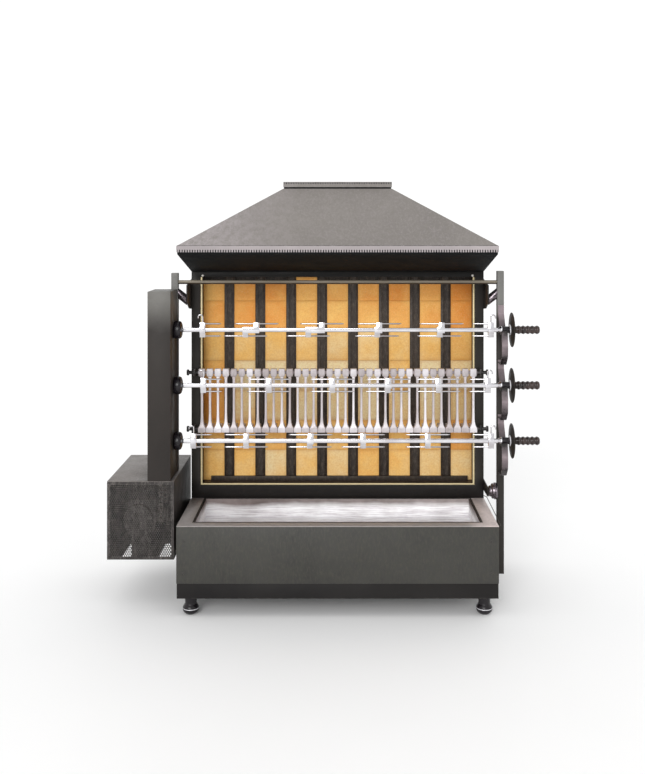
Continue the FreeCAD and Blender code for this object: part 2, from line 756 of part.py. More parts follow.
def drive_box():
    """Welded plates of the motor housing: floor with two cooling vents, front, back and sides."""
    floor = block(BOX_LEFT, BOX_RIGHT, BOX_Y0, BOX_Y1, BOX_BOTTOM, BOX_BOTTOM + SHEET)
    for x0, x1 in VENTS_X:
        floor = floor.cut(block(x0, x1, VENT_Y0, VENT_Y1, BOX_BOTTOM, BOX_BOTTOM + SHEET))
    low, high = BOX_BOTTOM + SHEET, BOX_TOP - SHEET
    front = block(BOX_LEFT, BOX_RIGHT, BOX_Y0, BOX_Y0 + SHEET, low, high)
    gland_hole = Part.makeCylinder(
        GLAND_R + CLEAR_GAP, SHEET, Vector(GLAND_X, BOX_Y1 - SHEET, GLAND_Z), Y_AXIS,
    )
    back = block(BOX_LEFT, BOX_RIGHT, BOX_Y1 - SHEET, BOX_Y1, low, high).cut(gland_hole)
    left = block(BOX_LEFT, BOX_LEFT + SHEET, BOX_Y0 + SHEET, BOX_Y1 - SHEET, low, high)
    right = block(BOX_RIGHT - SHEET, BOX_RIGHT, BOX_Y0 + SHEET, BOX_Y1 - SHEET, low, high)
    return [floor, front, back, left, right]


def drive_box_top():
    plate = block(BOX_LEFT, BOX_RIGHT, BOX_Y0, BOX_Y1, BOX_TOP - SHEET, BOX_TOP)
    slot_half = CHAIN_INNER_HALF + 2 * PLATE_THICK + CHAIN_SIDE_GAP
    reach = PITCH_R + PLATE_HALF + CHAIN_END_GAP
    slot = block(
        CHAIN_X - slot_half, CHAIN_X + slot_half,
        SPIT_Y - reach, SPIT_Y + reach, BOX_TOP - SHEET, BOX_TOP,
    )
    return plate.cut(slot)


def bearing(x_wall, direction, z):
    """Flanged bearing on a wall of the column; direction says which way its boss points."""
    flange_x = sorted((x_wall, x_wall + direction * BEARING_FLANGE))
    boss_x = sorted((x_wall, x_wall + direction * BEARING_BOSS))
    flange = block(
        flange_x[0], flange_x[1],
        SPIT_Y - BEARING_HALF, SPIT_Y + BEARING_HALF, z - BEARING_HALF, z + BEARING_HALF,
    )
    boss = rod_x(boss_x[0], boss_x[1], BEARING_BOSS_R, SPIT_Y, z)
    hole = rod_x(boss_x[0], boss_x[1], SHAFT_R + RUNNING_GAP, SPIT_Y, z)
    return fuse(flange, boss).cut(hole)


def bearing_blocks():
    blocks = []
    for z in SPIT_Z:
        blocks.append(bearing(COLUMN_RIGHT - SHEET, -1, z))
        blocks.append(bearing(COLUMN_LEFT + SHEET, 1, z))
    return blocks


def sprocket(z):
    """Toothed disc; its tips stop just short of the chain's rollers."""
    tip_r = PITCH_R - ROLLER_R - 2 * CLEAR_GAP
    root_r = tip_r - TOOTH_DEPTH
    step = 2 * math.pi / SPROCKET_TEETH
    corners = (
        (-TOOTH_ROOT_SHARE, root_r), (-TOOTH_TIP_SHARE, tip_r),
        (TOOTH_TIP_SHARE, tip_r), (TOOTH_ROOT_SHARE, root_r),
    )
    points = []
    for tooth in range(SPROCKET_TEETH):
        for share, radius in corners:
            angle = (tooth + share) * step
            points.append(Vector(
                CHAIN_X - SPROCKET_HALF,
                SPIT_Y + radius * math.cos(angle), z + radius * math.sin(angle),
            ))
    face = Part.Face(Part.makePolygon(points + points[:1]))
    return face.extrude(Vector(2 * SPROCKET_HALF, 0, 0))


def drive_spindle(z):
    """Shaft with its welded sprocket, and the drum whose square socket drives the spit."""
    shaft = rod_x(SHAFT_LEFT, DRUM_LEFT, SHAFT_R, SPIT_Y, z)
    hub = rod_x(CHAIN_X - SPROCKET_HUB_HALF, CHAIN_X + SPROCKET_HUB_HALF, SPROCKET_HUB_R, SPIT_Y, z)
    drum = turned_x([(DRUM_LEFT + along, radius) for along, radius in DRUM_PROFILE], SPIT_Y, z)
    socket = block(
        DRUM_RIGHT - SOCKET_DEPTH, DRUM_RIGHT,
        SPIT_Y - SOCKET_HALF, SPIT_Y + SOCKET_HALF, z - SOCKET_HALF, z + SOCKET_HALF,
    )
    return fuse(shaft, hub, sprocket(z), drum).cut(socket)


def motor_sprocket():
    hub_end = CHAIN_X + SPROCKET_HUB_HALF
    shaft = rod_x(GEARBOX_RIGHT + CLEAR_GAP, hub_end, SHAFT_R, SPIT_Y, MOTOR_Z)
    hub = rod_x(CHAIN_X - SPROCKET_HUB_HALF, hub_end, SPROCKET_HUB_R, SPIT_Y, MOTOR_Z)
    return fuse(shaft, hub, sprocket(MOTOR_Z))


def loop_face(radius, x):
    """Stadium outline around the top and bottom sprockets."""
    top, low = SPIT_Z[0], MOTOR_Z

    def at(y, z):
        return Vector(x, SPIT_Y + y, z)

    return Part.Face(Part.Wire([
        Part.makeLine(at(-radius, low), at(-radius, top)),
        Part.Arc(at(-radius, top), at(0, top + radius), at(radius, top)).toShape(),
        Part.makeLine(at(radius, top), at(radius, low)),
        Part.Arc(at(radius, low), at(0, low - radius), at(-radius, low)).toShape(),
    ]))


def roller_places():
    """Roller centres, one pitch apart along the loop."""
    straight = SPIT_Z[0] - MOTOR_Z
    bend = math.pi * PITCH_R
    places = []
    for link in range(CHAIN_LINKS):
        along = link * CHAIN_PITCH
        if along < straight:
            places.append((-PITCH_R, MOTOR_Z + along))
        elif along < straight + bend:
            angle = math.pi - (along - straight) / PITCH_R
            places.append((PITCH_R * math.cos(angle), SPIT_Z[0] + PITCH_R * math.sin(angle)))
        elif along < 2 * straight + bend:
            places.append((PITCH_R, SPIT_Z[0] - (along - straight - bend)))
        else:
            angle = -(along - 2 * straight - bend) / PITCH_R
            places.append((PITCH_R * math.cos(angle), MOTOR_Z + PITCH_R * math.sin(angle)))
    return places


def drive_chain():
    """Roller chain as two plate loops joined by its rollers."""
    bands = []
    for x in (CHAIN_X - CHAIN_INNER_HALF - PLATE_THICK, CHAIN_X + CHAIN_INNER_HALF):
        outer = loop_face(PITCH_R + PLATE_HALF, x)
        inner = loop_face(PITCH_R - PLATE_HALF, x)
        bands.append(outer.cut(inner).extrude(Vector(PLATE_THICK, 0, 0)))
    rollers = [
        rod_x(CHAIN_X - CHAIN_INNER_HALF, CHAIN_X + CHAIN_INNER_HALF, ROLLER_R, SPIT_Y + y, z)
        for y, z in roller_places()
    ]
    return bands[0].fuse([bands[1]] + rollers)


def gear_motor():
    """Round motor across the box, worm gearbox with its output towards the chain, and a stand."""
    can = Part.makeCylinder(
        MOTOR_R, MOTOR_Y1 - MOTOR_Y0, Vector(MOTOR_X, MOTOR_Y0, MOTOR_Z - MOTOR_DROP), Y_AXIS,
    )
    gearbox = block(
        GEARBOX_LEFT, GEARBOX_RIGHT, SPIT_Y - GEARBOX_HALF_Y, SPIT_Y + GEARBOX_HALF_Y,
        MOTOR_Z - GEARBOX_HALF_Z, MOTOR_Z + GEARBOX_HALF_Z,
    )
    stand = block(
        STAND_LEFT, STAND_RIGHT, MOTOR_Y0 + STAND_INSET, MOTOR_Y1 - STAND_INSET,
        BOX_BOTTOM + SHEET, MOTOR_Z - STAND_SINK,
    )
    return fuse(can, gearbox, stand)


def cable_gland():
    nut = Part.makeCylinder(GLAND_NUT_R, GLAND_NUT, Vector(GLAND_X, BOX_Y1, GLAND_Z), Y_AXIS)
    inner_end = Vector(GLAND_X, BOX_Y1 - SHEET, GLAND_Z)
    neck = Part.makeCylinder(GLAND_R, GLAND_LENGTH, inner_end, Y_AXIS)
    bore = Part.makeCylinder(GLAND_BORE_R, GLAND_LENGTH, inner_end, Y_AXIS)
    return fuse(nut, neck).cut(bore)


# ---------------------------------------------------------------- spits

def square_bar(x0, x1, half, y, z):
    """Square bar with its long edges chamfered."""
    c = BAR_CHAMFER
    outline = (
        (y - half + c, z - half), (y + half - c, z - half), (y + half, z - half + c),
        (y + half, z + half - c), (y + half - c, z + half), (y - half + c, z + half),
        (y - half, z + half - c), (y - half, z - half + c),
    )
    return prism_x(outline, x0, x1)


def spit_bar(z):
    """Square spit with driving tip, thrust cone, journal and the stud that carries the grip."""
    tip_left = DRUM_RIGHT - SOCKET_DEPTH + TIP_END_GAP
    bar_left = DRUM_RIGHT + TIP_END_GAP
    tip = square_bar(tip_left, bar_left, TIP_HALF, SPIT_Y, z)
    bar = square_bar(bar_left, CONE_LEFT + BAR_INTO_CONE, BAR_HALF, SPIT_Y, z)
    end = turned_x((
        (CONE_LEFT, 0), (CONE_LEFT, BAR_HALF), (CONE_RIGHT, JOURNAL_R),
        (JOURNAL_RIGHT, JOURNAL_R), (JOURNAL_RIGHT, STUD_R),
        (STUD_RIGHT, STUD_R), (STUD_RIGHT, 0),
    ), SPIT_Y, z)
    return fuse(tip, bar, end)


def heat_shield(z):
    """Dished round plate with a hub, which keeps the cook's hand from the heat."""
    hub_r = STUD_R + RUNNING_GAP
    left, thick = SHIELD_LEFT, SHIELD_THICK
    return turned_x((
        (JOURNAL_RIGHT, hub_r), (JOURNAL_RIGHT, SHIELD_HUB_R), (left, SHIELD_HUB_R),
        (left + SHIELD_DISH, SHIELD_R), (left + SHIELD_DISH + thick, SHIELD_R),
        (left + thick, SHIELD_HUB_R), (HANDLE_LEFT, SHIELD_NOSE_R), (HANDLE_LEFT, hub_r),
    ), SPIT_Y, z)


def handle_grip(z):
    """Ribbed grip, closed at its right end."""
    profile = [(HANDLE_LEFT, STUD_R + RUNNING_GAP), (HANDLE_LEFT, HANDLE_ROOT_R)]
    first = HANDLE_LAST_RIB_X - (HANDLE_RIBS - 1) * HANDLE_RIB_PITCH
    for rib in range(HANDLE_RIBS):
        middle = first + rib * HANDLE_RIB_PITCH
        profile += [
            (middle - HANDLE_RIB_HALF, HANDLE_ROOT_R), (middle - HANDLE_CREST_HALF, HANDLE_RIB_R),
            (middle + HANDLE_CREST_HALF, HANDLE_RIB_R), (middle + HANDLE_RIB_HALF, HANDLE_ROOT_R),
        ]
    stud_end = STUD_RIGHT + CLEAR_GAP
    profile += [
        (HANDLE_RIGHT, HANDLE_END_R), (HANDLE_RIGHT, 0),
        (stud_end, 0), (stud_end, STUD_R + RUNNING_GAP),
    ]
    return turned_x(profile, SPIT_Y, z)


def prong(x_from, x_to, y, z):
    """Round prong with a conical point at its far end."""
    direction = 1 if x_to > x_from else -1
    neck = x_to - direction * PRONG_POINT
    x0, x1 = sorted((x_from, neck))
    shank = rod_x(x0, x1, PRONG_R, y, z)
    point = Part.makeCone(PRONG_R, PRONG_TIP_R, PRONG_POINT, Vector(neck, y, z), Vector(direction, 0, 0))
    return fuse(shank, point)


def cane_screw(x, z):
    """Locking screw of an end fork: its top is bent over like a walking cane."""
    low = z + BAR_HALF + CLEAR_GAP
    top = z + FORK_BLOCK_TOP + CANE_RISE
    side = 1 if x > 0 else -1
    over = x + side * 2 * CANE_R
    path = rounded_path([
        (Vector(x, SPIT_Y, low), 0), (Vector(x, SPIT_Y, top), CANE_BEND),
        (Vector(over, SPIT_Y, top), CANE_BEND), (Vector(over, SPIT_Y, top - CANE_R - CANE_DROP), 0),
    ])
    profile = Part.Wire(Part.makeCircle(SCREW_R, Vector(x, SPIT_Y, low), Z_AXIS))
    return swept(path, profile, Y_AXIS)


def thumb_screw(x, z):
    """Short knurled screw in the back of a middle fork's sleeve."""
    start = SPIT_Y + BAR_HALF + CLEAR_GAP
    head_y = SPIT_Y + FORK_SLEEVE_HALF + SCREW_LENGTH
    shank = Part.makeCylinder(SCREW_R, head_y - start, Vector(x, start, z), Y_AXIS)
    head = Part.makeCylinder(SCREW_HEAD_R, SCREW_HEAD, Vector(x, head_y, z), Y_AXIS)
    return fuse(shank, head)


def fork(spit, place):
    """A fork and its locking screw: end forks point inwards, middle forks both ways."""
    z = SPIT_Z[spit]
    x, skew = FORKS[spit][place]
    is_left = place == 0
    is_right = place == len(FORKS[spit]) - 1
    reach = END_PRONG_REACH if is_left or is_right else PRONG_REACH
    half = FORK_BLOCK / 2
    sleeve_half = half + skew
    hole_half = BAR_HALF + FORK_GAP
    depth = FORK_BLOCK_DEPTH / 2
    body = block(
        x - sleeve_half, x + sleeve_half,
        SPIT_Y - FORK_SLEEVE_HALF, SPIT_Y + FORK_SLEEVE_HALF,
        z - FORK_SLEEVE_HALF, z + FORK_SLEEVE_HALF,
    )
    pieces = []
    for up in (-1, 1):
        block_x = x + up * skew
        z0, z1 = sorted((z + up * (BAR_HALF + FORK_BLOCK_INSET), z + up * FORK_BLOCK_TOP))
        pieces.append(block(block_x - half, block_x + half, SPIT_Y - depth, SPIT_Y + depth, z0, z1))
        prong_z = z + up * PRONG_OFFSET
        if not is_left:
            pieces.append(prong(block_x, block_x - half - reach, SPIT_Y, prong_z))
        if not is_right:
            pieces.append(prong(block_x, block_x + half + reach, SPIT_Y, prong_z))
    bar_hole = block(
        x - sleeve_half, x + sleeve_half,
        SPIT_Y - hole_half, SPIT_Y + hole_half, z - hole_half, z + hole_half,
    )
    body = fuse(body, *pieces).cut(bar_hole)
    if is_left or is_right:
        screw = cane_screw(x, z)
        screw_hole = Part.makeCylinder(
            SCREW_R + RUNNING_GAP, FORK_BLOCK_TOP, Vector(x, SPIT_Y, z + BAR_HALF), Z_AXIS,
        )
    else:
        screw = thumb_screw(x, z)
        screw_hole = Part.makeCylinder(
            SCREW_R + RUNNING_GAP, FORK_SLEEVE_HALF, Vector(x, SPIT_Y + BAR_HALF, z), Y_AXIS,
        )
    return [body.cut(screw_hole), screw]


# ---------------------------------------------------------------- fasteners

def rivet(x, y, z):
    """Low domed head standing on a face that looks to -Y."""
    return Part.makeCone(RIVET_R, RIVET_TOP_R, RIVET_HEIGHT, Vector(x, y, z), -Y_AXIS)


def screws():
    heads = [
        rivet(side * BASE_SCREW_X, 0, z)
        for side in (-1, 1) for z in BASE_SCREW_Z
    ]
    heads += [rivet(side * HEADER_RIVET_X, BACK_FRONT_Y, HEADER_RIVET_Z) for side in (-1, 1)]
    return heads


def main():
    os.makedirs("parts", exist_ok=True)
    save("base_shell", base_shell())
    save("base_plinth", *base_plinth())
    save("base_rim", base_rim())
    save("bun_feet", *bun_feet())
    save("drip_tray", drip_tray())
    save("back_casing", back_casing())
    save("firebox_liner", *firebox_liner(), *brick_channels())
    save("fire_bricks", *fire_bricks())
    save("brick_trim", brick_trim())
    save("hood_flare", hood_flare())
    save("hood_lip", hood_lip())
    save("hood_shell", *hood_shell())
    save("flue_collar", flue_collar())
    save("left_post", post(-1, BOX_TOP, LEFT_POST_TOP))
    save("right_post", post(1, RIGHT_POST_BOTTOM, RIGHT_POST_TOP))
    save("tie_bar", rod_x(-POST_X, POST_X, TIE_BAR_R, POST_Y + POST_DEPTH / 2, TIE_BAR_Z))
    save("post_brackets", *post_brackets())
    save("post_standoffs", *post_standoffs())
    save("spit_hooks", *[spit_hook(z) for z in SPIT_Z])
    save("grate_rods", *grate_rods())
    save("grate_tines", *grate_tines())
    save("chain_cover", chain_cover())
    save("drive_box", *drive_box())
    save("drive_box_top", drive_box_top())
    save("bearing_blocks", *bearing_blocks())
    save("drive_chain", drive_chain())
    save("gear_motor", gear_motor())
    save("motor_sprocket", motor_sprocket())
    save("cable_gland", cable_gland())
    save("screws", *screws())
    for spit, z in enumerate(SPIT_Z):
        save(f"drive_spindle_{spit + 1}", drive_spindle(z))
        save(f"spit_bar_{spit + 1}", spit_bar(z))
        save(f"heat_shield_{spit + 1}", heat_shield(z))
        save(f"handle_grip_{spit + 1}", handle_grip(z))
        for place in range(len(FORKS[spit])):
            save(f"fork_{spit + 1}_{place + 1}", *fork(spit, place))


main()
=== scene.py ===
import json
import math
import random

import bmesh
import bpy
from mathutils import Matrix, Vector

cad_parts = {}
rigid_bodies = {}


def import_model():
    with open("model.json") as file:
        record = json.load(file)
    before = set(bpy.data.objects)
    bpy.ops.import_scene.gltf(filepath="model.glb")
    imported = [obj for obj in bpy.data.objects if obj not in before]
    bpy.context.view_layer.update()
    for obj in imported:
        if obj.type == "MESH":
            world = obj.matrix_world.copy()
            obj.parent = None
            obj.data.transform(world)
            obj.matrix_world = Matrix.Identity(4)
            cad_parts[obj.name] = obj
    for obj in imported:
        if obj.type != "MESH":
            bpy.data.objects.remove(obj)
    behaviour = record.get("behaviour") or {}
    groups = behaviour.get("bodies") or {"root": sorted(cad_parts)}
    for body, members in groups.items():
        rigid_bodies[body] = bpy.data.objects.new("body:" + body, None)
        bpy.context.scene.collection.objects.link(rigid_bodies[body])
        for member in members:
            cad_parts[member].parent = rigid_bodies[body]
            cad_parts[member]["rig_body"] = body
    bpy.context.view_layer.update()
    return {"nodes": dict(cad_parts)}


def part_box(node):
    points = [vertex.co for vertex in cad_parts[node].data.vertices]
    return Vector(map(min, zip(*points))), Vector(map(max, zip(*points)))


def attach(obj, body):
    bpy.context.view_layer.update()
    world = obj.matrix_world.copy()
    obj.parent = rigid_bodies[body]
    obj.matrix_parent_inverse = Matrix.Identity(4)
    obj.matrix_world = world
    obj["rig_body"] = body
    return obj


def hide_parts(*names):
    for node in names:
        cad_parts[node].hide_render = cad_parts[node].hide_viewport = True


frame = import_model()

MM = 0.001
SPITS = (1, 2, 3)
FORKS_PER_SPIT = 6
OVEN = "oven"
X_AXIS, Z_AXIS = (1, 0, 0), (0, 0, 1)

# ---------------------------------------------------------------- places, from the frame

CASING_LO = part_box("back_casing")[0]
BASE_LO, BASE_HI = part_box("base_shell")
TIE_LO, TIE_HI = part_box("tie_bar")
CENTRE_X = (BASE_LO.x + BASE_HI.x) / 2
FRONT_Y = BASE_LO.y
RNG = random.Random(7)


def srgb(red, green, blue):
    """0-255 display values to the linear colour that a shader takes."""
    def linear(value):
        value = value / 255
        return value / 12.92 if value <= 0.04045 else ((value + 0.055) / 1.055) ** 2.4
    return (linear(red), linear(green), linear(blue), 1.0)


# ---------------------------------------------------------------- materials

class Graph:
    """A material's node graph, built step by step."""

    def __init__(self, name):
        self.material = bpy.data.materials.new(name)
        self.material.use_nodes = True
        self.tree = self.material.node_tree
        self.shader = self.tree.nodes["Principled BSDF"]
        self.place = self.tree.nodes.new("ShaderNodeTexCoord").outputs["Object"]

    def node(self, kind, **values):
        made = self.tree.nodes.new(kind)
        for key, value in values.items():
            setattr(made, key, value)
        return made

    def feed(self, socket, value):
        if hasattr(value, "is_output"):
            self.tree.links.new(value, socket)
        else:
            socket.default_value = value

    def stretched(self, scale):
        made = self.node("ShaderNodeMapping")
        self.feed(made.inputs["Vector"], self.place)
        made.inputs["Scale"].default_value = scale
        return made.outputs["Vector"]

    def noise(self, scale, detail=4.0, rough=0.55, stretch=None, distortion=0.0):
        made = self.node("ShaderNodeTexNoise")
        self.feed(made.inputs["Vector"], self.stretched(stretch) if stretch else self.place)
        made.inputs["Scale"].default_value = scale
        made.inputs["Detail"].default_value = detail
        made.inputs["Roughness"].default_value = rough
        made.inputs["Distortion"].default_value = distortion
        return made.outputs["Fac"]

    def voronoi(self, scale, stretch=None):
        made = self.node("ShaderNodeTexVoronoi")
        self.feed(made.inputs["Vector"], self.stretched(stretch) if stretch else self.place)
        made.inputs["Scale"].default_value = scale
        return made.outputs["Distance"]

    def spread(self, value, low, high, to_low=0.0, to_high=1.0):
        made = self.node("ShaderNodeMapRange")
        self.feed(made.inputs["Value"], value)
        made.inputs["From Min"].default_value = low
        made.inputs["From Max"].default_value = high
        made.inputs["To Min"].default_value = to_low
        made.inputs["To Max"].default_value = to_high
        return made.outputs["Result"]

    def blend(self, factor, first, second, mode="MIX"):
        made = self.node("ShaderNodeMix", data_type="RGBA", blend_type=mode)
        self.feed(made.inputs[0], factor)
        self.feed(made.inputs[6], first)
        self.feed(made.inputs[7], second)
        return made.outputs[2]

    def sum(self, first, second, operation="ADD"):
        made = self.node("ShaderNodeMath", operation=operation)
        self.feed(made.inputs[0], first)
        self.feed(made.inputs[1], second)
        return made.outputs[0]

    def along(self, axis, low, high):
        """0 to 1 between two places on one axis of the row frame."""
        split = self.node("ShaderNodeSeparateXYZ")
        self.feed(split.inputs[0], self.place)
        return self.spread(split.outputs[axis], low, high)

    def near(self, point, inner, outer):
        """1 within the inner distance of a point, falling to 0 at the outer one."""
        gap = self.node("ShaderNodeVectorMath", operation="DISTANCE")
        self.feed(gap.inputs[0], self.place)
        gap.inputs[1].default_value = point
        return self.spread(gap.outputs["Value"], outer, inner)

    def edges(self, radius):
        """1 on worn outside edges, 0 on flat faces."""
        bevel = self.node("ShaderNodeBevel", samples=4)
        bevel.inputs["Radius"].default_value = radius
        geometry = self.node("ShaderNodeNewGeometry")
        dot = self.node("ShaderNodeVectorMath", operation="DOT_PRODUCT")
        self.feed(dot.inputs[0], bevel.outputs["Normal"])
        self.feed(dot.inputs[1], geometry.outputs["Normal"])
        return self.spread(dot.outputs["Value"], 0.995, 0.85)

    def bump(self, height, strength, distance=0.001):
        made = self.node("ShaderNodeBump")
        self.feed(made.inputs["Height"], height)
        made.inputs["Strength"].default_value = strength
        made.inputs["Distance"].default_value = distance
        self.tree.links.new(made.outputs["Normal"], self.shader.inputs["Normal"])

    def finish(self, colour, rough, metallic=0.0, **sockets):
        self.feed(self.shader.inputs["Base Color"], colour)
        self.feed(self.shader.inputs["Roughness"], rough)
        self.feed(self.shader.inputs["Metallic"], metallic)
        for name, value in sockets.items():
            self.shader.inputs[name.replace("_", " ")].default_value = value
        return self.material


def paint(name, light, dark, rough=(0.38, 0.52), edge_wear_and_highlight=None, mottle=None, fades=(), grain=0.12, shine=0.35):
    """Stoved satin paint: cloudy colour, fine orange-peel grain, and lighter edges: rubbed wear, and on the
    liner channels a painted highlight along the ridges.
    """
    g = Graph(name)
    colour = g.blend(g.spread(g.noise(3.2, 5, 0.6), 0.35, 0.68), dark, light)
    for axis, start, end, far_colour in fades:
        drift = g.spread(g.noise(5.0, 4), 0.3, 0.7, -0.12, 0.12)
        share = g.sum(g.along(axis, start, end), drift)
        limited = g.spread(share, 0.12, 0.88)
        colour = g.blend(limited, colour, far_colour)
    if mottle:
        blotch = g.spread(g.noise(46.0, 7, 0.8, stretch=(1, 1, 0.6)), 0.42, 0.64, 0.0, 0.8)
        colour = g.blend(blotch, colour, mottle[0])
        flecks = g.spread(g.noise(130.0, 5, 0.8, stretch=(1, 1, 0.35)), 0.48, 0.66, 0.0, 0.7)
        colour = g.blend(flecks, colour, mottle[1])
    dust = g.spread(g.noise(38.0, 6, 0.7), 0.52, 0.8, 0.0, 0.25)
    colour = g.blend(dust, colour, light)
    # lighter edges: rubbed wear, and on the liner channels a painted highlight along the ridges
    if edge_wear_and_highlight:
        edge_wear_and_highlight_mask = g.sum(g.edges(0.0018), g.spread(g.noise(60.0, 4), 0.42, 0.62), "MULTIPLY")
        colour = g.blend(edge_wear_and_highlight_mask, colour, edge_wear_and_highlight)
    g.bump(g.noise(950.0, 2, 0.5), grain, 0.0004)
    sheen = g.spread(g.noise(14.0, 4), 0.3, 0.7, rough[0], rough[1])
    return g.finish(colour, sheen, Specular_IOR_Level=shine)


def steel(name, light, dark, rough=(0.2, 0.34), stretch=(1, 40, 40), tint=None, metallic=1.0, grain=0.08):
    """Brushed or drawn steel: fine lines along one axis, with cloudy heat tint."""
    g = Graph(name)
    lines = g.noise(22.0, 5, 0.65, stretch=stretch)
    colour = g.blend(g.spread(lines, 0.34, 0.68), dark, light)
    if tint:
        patches = g.spread(g.noise(4.5, 4, 0.6, distortion=0.8), 0.45, 0.75, 0.0, 0.7)
        colour = g.blend(patches, colour, tint)
    g.bump(lines, grain, 0.0003)
    sheen = g.spread(g.noise(9.0, 4), 0.3, 0.7, rough[0], rough[1])
    return g.finish(colour, sheen, metallic)


def chrome_material():
    """Polished plate, with painted brown shade on the faces that look down, fingerprints and heat haze."""
    g = Graph("chrome_plate")
    haze = g.spread(g.noise(26.0, 4, 0.6, stretch=(0.4, 1, 1)), 0.38, 0.72)
    colour = g.blend(haze, srgb(236, 236, 240), srgb(206, 202, 206))
    # painted shade on the faces that look down
    split = g.node("ShaderNodeSeparateXYZ")
    g.feed(split.inputs[0], g.node("ShaderNodeNewGeometry").outputs["Normal"])
    painted_underside_shade = g.spread(split.outputs["Z"], 0.0, -0.6, 0.0, 0.9)
    colour = g.blend(painted_underside_shade, colour, srgb(96, 80, 68))
    g.bump(g.noise(300.0, 3), 0.015, 0.0002)
    return g.finish(colour, g.spread(haze, 0, 1, 0.1, 0.22), 1.0)


def brick_material():
    """Fired clay: each brick has its own tint, with sandy grain, pits, darker rims and stains."""
    g = Graph("fire_clay")
    tint = g.node("ShaderNodeAttribute", attribute_name="tint").outputs["Fac"]
    rim = g.node("ShaderNodeAttribute", attribute_name="rim").outputs["Fac"]
    stain = g.node("ShaderNodeAttribute", attribute_name="stain").outputs["Fac"]
    mixed = g.sum(tint, g.spread(g.noise(11.0, 5, 0.62), 0.3, 0.72, -0.14, 0.14))
    sandy = g.blend(g.spread(mixed, 0.0, 0.5), srgb(244, 228, 182), srgb(250, 200, 116))
    colour = g.blend(g.spread(mixed, 0.5, 1.0), sandy, srgb(236, 146, 62))
    sand = g.spread(g.noise(150.0, 6, 0.85), 0.42, 0.6)
    colour = g.blend(g.sum(sand, 0.34, "MULTIPLY"), colour, srgb(204, 132, 62))
    pale = g.spread(g.noise(190.0, 5, 0.85), 0.54, 0.68)
    colour = g.blend(g.sum(pale, 0.4, "MULTIPLY"), colour, srgb(252, 226, 176))
    scorched = g.sum(stain, g.spread(g.noise(24.0, 5, 0.65), 0.3, 0.68, 0.4, 1.0), "MULTIPLY")
    colour = g.blend(scorched, colour, srgb(186, 112, 52))
    colour = g.blend(g.sum(rim, 0.3, "MULTIPLY"), colour, srgb(196, 132, 62))
    pits = g.sum(g.noise(520.0, 4, 0.7), g.spread(g.voronoi(150.0), 0.0, 0.3), "ADD")
    g.bump(pits, 0.28, 0.0008)
    return g.finish(colour, g.spread(sand, 0, 1, 0.78, 0.95), Specular_IOR_Level=0.2)


def hook_material():
    """Oiled black steel, with a painted pinkish-grey highlight where its tone attribute is high."""
    g = Graph("hook_steel")
    tone = g.node("ShaderNodeAttribute", attribute_name="tone").outputs["Fac"]
    painted_highlight = g.sum(tone, g.spread(g.noise(30.0, 4, 0.6), 0.3, 0.7, -0.2, 0.2))
    colour = g.blend(painted_highlight, srgb(34, 30, 30), srgb(148, 134, 138))
    g.bump(g.noise(400.0, 3), 0.06, 0.0003)
    return g.finish(colour, g.spread(painted_highlight, 0, 1, 0.24, 0.42), 0.35)


def grate_material():
    """Light grey casting: sand-cast grain, its own tone for each finger, soot in patches."""
    g = Graph("grate_casting")
    tone = g.node("ShaderNodeAttribute", attribute_name="tone").outputs["Fac"]
    cloud = g.spread(g.noise(12.0, 5, 0.6, stretch=(1, 1, 0.3)), 0.35, 0.68, -0.25, 0.25)
    colour = g.blend(g.sum(tone, cloud), srgb(182, 172, 173), srgb(238, 234, 238))
    soot = g.spread(g.noise(34.0, 5, 0.65), 0.55, 0.8, 0.0, 0.45)
    colour = g.blend(soot, colour, srgb(120, 104, 92))
    g.bump(g.noise(700.0, 4, 0.7), 0.22, 0.0005)
    return g.finish(colour, g.spread(cloud, -0.25, 0.25, 0.34, 0.5), 0.3)


def tray_material(lo, hi):
    """Polished sheet: brighter towards the front with painted light, darker towards its upper edge with
    painted shade and smoke soot, and sooted towards its left end.
    """
    g = Graph("tray_sheet")
    lines = g.noise(22.0, 5, 0.65, stretch=(0.5, 10, 10))
    # painted light: brighter towards the front
    painted_front_light = g.sum(g.along("Y", (lo.y + hi.y) / 2, lo.y + 0.08), g.spread(lines, 0.36, 0.6))
    bright = g.blend(painted_front_light, srgb(208, 202, 207), srgb(254, 254, 255))
    dull = g.blend(g.spread(g.noise(9.0, 5, 0.65), 0.35, 0.68), srgb(84, 70, 66), srgb(120, 106, 104))
    # painted shade with soot: darker towards the upper edge
    edge = g.sum(g.along("Z", hi.z - 0.036, hi.z - 0.008), g.spread(g.noise(7.0, 5), 0.3, 0.7, -0.1, 0.26))
    corner = g.near((lo.x + 0.14, hi.y, hi.z), 0.02, 0.13)
    soot_and_painted_shade = g.sum(edge, g.sum(corner, 0.5, "MULTIPLY"))
    g.bump(g.noise(14.0, 3, stretch=(1, 3, 3)), 0.12, 0.0012)
    return g.finish(g.blend(soot_and_painted_shade, bright, dull), g.spread(lines, 0.3, 0.7, 0.26, 0.36), 0.08)


